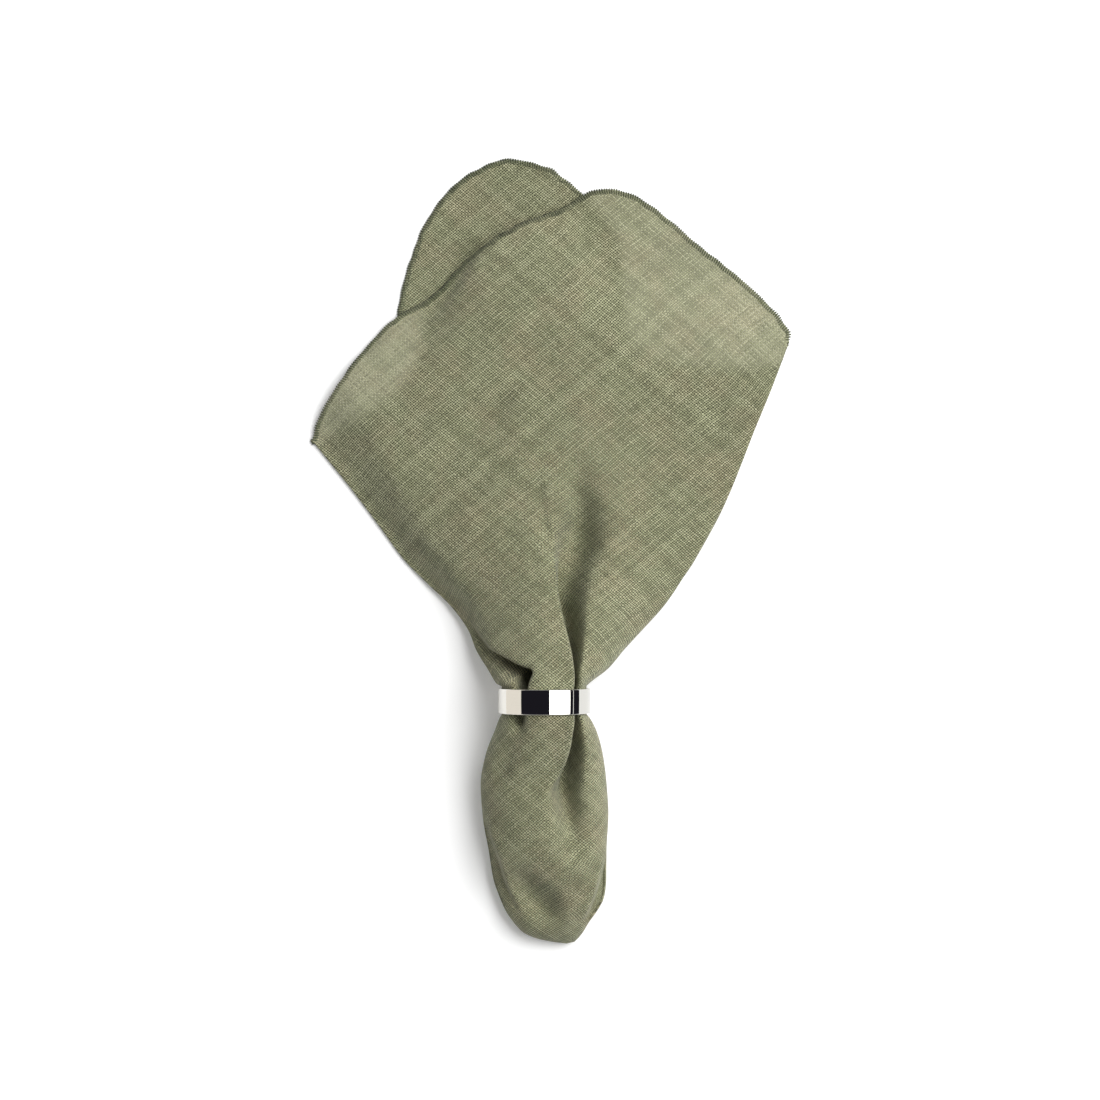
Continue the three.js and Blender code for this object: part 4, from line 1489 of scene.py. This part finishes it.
# Table, lights and camera, in metres.
VIEW_HEIGHT = 1.5
VIEW_WIDTH = 0.4796
VIEW_X = 0.0005
VIEW_Y = 0.0003


def flat_quad(name, corners, material):
    """One flat quad from its corners in metres, part of the studio."""
    mesh = bpy.data.meshes.new(name)
    mesh.from_pydata(corners, [], [(0, 1, 2, 3)])
    mesh.materials.append(material)
    quad = linked(name, mesh)
    return quad


CARD_HALF = 0.6
BAND_EYE = 0.033
NEAR_CARD = 0.25


def right_card_height(angle):
    """Height on the near right card that is seen at an angle from straight up."""
    return BAND_EYE + NEAR_CARD / math.tan(math.radians(angle))


flat_quad("table", [(-4, -4, 0), (4, -4, 0), (4, 4, 0), (-4, 4, 0)], make_table_white())
black_card = make_card("black_card", (0.014, 0.013, 0.019))
floor_card = make_card("floor_card", (1.13, 1.14, 1.15))
cream_card = make_card("cream_card", (1.06, 1.01, 0.94))
white_card = make_card("white_card", (1.1, 1.1, 1.1))
softbox_card = make_card("softbox_card", (3.0, 3.0, 3.0))
light_line = (right_card_height(78.6), right_card_height(77.0))
# Cards outside the picture that only the polished band mirrors, from one long side
# to the other, x and z in metres.
CARDS = rows(
    "name x1 z1 x2 z2 material",
    ("overhead_card", -1.56, 0.93, 0.21, 0.93, black_card),
    ("bright_card", 0.247, 1.1, 1.02, 0.44, softbox_card),
    ("low_dark_card", NEAR_CARD, 0.002, NEAR_CARD, light_line[0], black_card),
    ("light_line", NEAR_CARD, light_line[0], NEAR_CARD, light_line[1], white_card),
    ("high_dark_card", NEAR_CARD, light_line[1], NEAR_CARD, right_card_height(68), black_card),
    ("floor_card_right", 0.022, 0.0015, 0.249, 0.0015, floor_card),
    ("cream_card_low", -0.45, 0.002, -0.105, 0.002, cream_card),
    ("cream_card_high", -0.45, 0.002, -0.45, 0.3, cream_card),
)
for row in CARDS:
    first, second = (row["x1"], row["z1"]), (row["x2"], row["z2"])
    ends = ((first, -1), (second, -1), (second, 1), (first, 1))
    corners = [(x, way * CARD_HALF, z) for (x, z), way in ends]
    card = flat_quad(row["name"], corners, row["material"])
    card.visible_camera = False
    card.visible_diffuse = False
    card.visible_transmission = False
    card.visible_volume_scatter = False
    card.visible_shadow = False

world = bpy.data.worlds.new("studio")
bpy.context.scene.world = world
world.use_nodes = True
soft_white = world.node_tree.nodes["Background"].inputs
soft_white["Color"].default_value = (1, 1, 1, 1)
soft_white["Strength"].default_value = 0.33

LIGHT_FROM = 2.0 * Vector((0.55, 0.33, 0.77)).normalized()
softbox = bpy.data.lights.new("softbox", "AREA")
softbox.shape = "RECTANGLE"
softbox.size = 1.7
softbox.size_y = 1.7
softbox.energy = 58.5
softbox_object = linked("softbox", softbox)
softbox_object.location = LIGHT_FROM
softbox_object.rotation_euler = LIGHT_FROM.to_track_quat("Z", "Y").to_euler()
softbox_object.visible_glossy = False

SENSOR_WIDTH = 36
camera = bpy.data.cameras.new("camera")
camera.sensor_width = SENSOR_WIDTH
camera.lens = SENSOR_WIDTH * VIEW_HEIGHT / VIEW_WIDTH
camera_object = linked("camera", camera)
camera_object.location = (VIEW_X, VIEW_Y, VIEW_HEIGHT)
bpy.context.scene.camera = camera_object
bpy.context.scene.view_settings.view_transform = "Standard"
